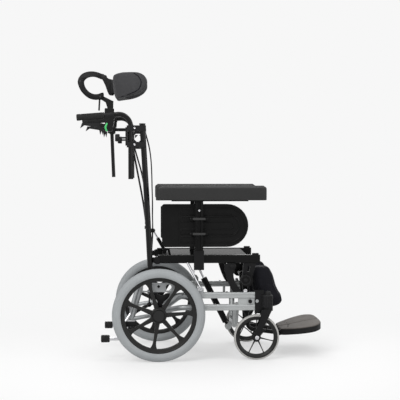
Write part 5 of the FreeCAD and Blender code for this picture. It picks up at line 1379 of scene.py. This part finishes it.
def build_stage():
    """A plain pale floor, soft lamps, a white surround and the camera at the photograph's angle."""
    scene = bpy.context.scene
    scene.view_settings.view_transform = "Standard"
    world = bpy.data.worlds.new("surround")
    scene.world = world
    world.use_nodes = True
    tree = world.node_tree
    lit = tree.nodes["Background"]
    lit.inputs["Color"].default_value = (1, 1, 1, 1)
    level = tree.nodes.new("ShaderNodeMapRange")
    level.inputs["To Min"].default_value = SURROUND_LIGHT
    level.inputs["To Max"].default_value = SURROUND_SEEN
    tree.links.new(shown_ray(tree), level.inputs["Value"])
    tree.links.new(level.outputs["Result"], lit.inputs["Strength"])
    rest()
    bpy.ops.mesh.primitive_plane_add(size=60, location=(0, 0, 0))
    floor = settle("floor")
    surface = Finish("pale_floor", grey(0.93), roughness=0.9)
    glow = surface.node("ShaderNodeEmission", None, {"Color": (1, 1, 1, 1), "Strength": SURROUND_SEEN},
                        "Emission")
    far = surface.node("ShaderNodeVectorMath", {"operation": "LENGTH"}, {0: surface.place()}, "Value")
    share = surface.node("ShaderNodeMapRange", {"interpolation_type": "SMOOTHSTEP"},
                         {"Value": far, "From Min": 0.6, "From Max": 1.7, "To Min": 0.52,
                          "To Max": 1.0}, "Result")
    ray = Value(surface, shown_ray(surface.tree))
    both = surface.node("ShaderNodeMixShader", None,
                        {0: share * ray, 1: Value(surface, surface.shader.outputs[0]), 2: glow},
                        "Shader")
    surface.tree.links.new(both.socket, surface.tree.nodes["Material Output"].inputs["Surface"])
    floor.data.materials.append(surface.material)
    target = (0.0, 0.0, 0.55)
    for name, place, size, power in (("key", (-1.6, -2.6, 2.6), 2.0, 84),
                                     ("fill", (2.4, -2.2, 1.6), 2.6, 34),
                                     ("top", (0.1, 0.3, 3.2), 2.8, 46),
                                     ("rim", (0.6, 2.8, 2.2), 2.4, 30)):
        area_lamp(name, place, target, size, power)
    rest()
    place, down, side = (-0.23225, -4.77, 0.8515), 1.872, -2.861
    lens, sensor = 93.6, 36
    bpy.ops.object.camera_add(location=place,
                              rotation=(math.radians(90 - down), 0, math.radians(side)))
    camera = bpy.context.object
    camera.name = "photograph_view"
    camera.data.lens, camera.data.sensor_width = lens, sensor
    camera.data.clip_start, camera.data.clip_end = 0.1, 100
    scene.camera = camera


class StageOperator(bpy.types.Operator):
    """Make the floor, the lamps and the camera"""
    bl_idname = "wheelchair.stage"
    bl_label = "Stage"

    def execute(self, context):
        build_stage()
        return {"FINISHED"}


STEPS = (
    ("frame_finishes", "Frame finishes", finish_frame), ("rear_rims", "Rear wheels", build_rear_rim),
    ("rear_tyres", "Rear tyres", build_rear_tyre), ("casters", "Castors", build_casters),
    ("fittings", "Bolts and knobs", build_fittings), ("arm_pads", "Arm pads", build_arm_pads),
    ("guards", "Side guards", build_guards), ("grips", "Hand grips", build_grips),
    ("handle_details", "Handle details", build_handle_details), ("cables", "Cables", build_cables),
    ("calf_pads", "Calf pads", build_calf_pads), ("headrest", "Headrest pad", build_headrest_pad),
    ("footplates", "Footplates", build_footplates), ("tip_pads", "Tipping lever pads", build_tip_pads),
    ("headrest_arms", "Headrest ring", build_headrest_arms),
    ("axle_brackets", "Axle brackets", build_axle_brackets),
    ("arm_posts", "Arm post details", build_arm_posts),
    ("caster_forks", "Castor forks", build_caster_forks),
    ("tilt_brackets", "Tilt brackets", build_tilt_brackets),
    ("clamp_webs", "Clamp fillets", build_clamp_webs),
)


def operator_for(name, label, work):
    """An operator that runs one maker."""
    def execute(self, context):
        work()
        return {"FINISHED"}
    return type(f"WHEELCHAIR_OT_{name}", (bpy.types.Operator,),
                {"bl_idname": f"wheelchair.{name}", "bl_label": label, "__doc__": work.__doc__,
                 "execute": execute})


OPERATORS = [StageOperator] + [operator_for(*step) for step in STEPS]


class WHEELCHAIR_PT_panel(bpy.types.Panel):
    """The wheelchair's pieces, sizes and colours"""
    bl_idname = "WHEELCHAIR_PT_panel"
    bl_label = "Wheelchair"
    bl_space_type = "VIEW_3D"
    bl_region_type = "UI"
    bl_category = "Wheelchair"

    def draw(self, context):
        for operator in OPERATORS:
            self.layout.operator(operator.bl_idname)


CLASSES = [WheelchairColours, WheelchairSizes, *OPERATORS, WHEELCHAIR_PT_panel]


def register():
    for item in CLASSES:
        bpy.utils.register_class(item)
    bpy.types.Scene.wheelchair_colours = bpy.props.PointerProperty(type=WheelchairColours)
    bpy.types.Scene.wheelchair_sizes = bpy.props.PointerProperty(type=WheelchairSizes)


def unregister():
    del bpy.types.Scene.wheelchair_sizes
    del bpy.types.Scene.wheelchair_colours
    for item in reversed(CLASSES):
        bpy.utils.unregister_class(item)


def main():
    """Build the whole dressed wheelchair and write both boxes."""
    register()
    for operator in OPERATORS:
        group, name = operator.bl_idname.split(".")
        getattr(getattr(bpy.ops, group), name)()
    rest()


if __name__ == "__main__":
    main()
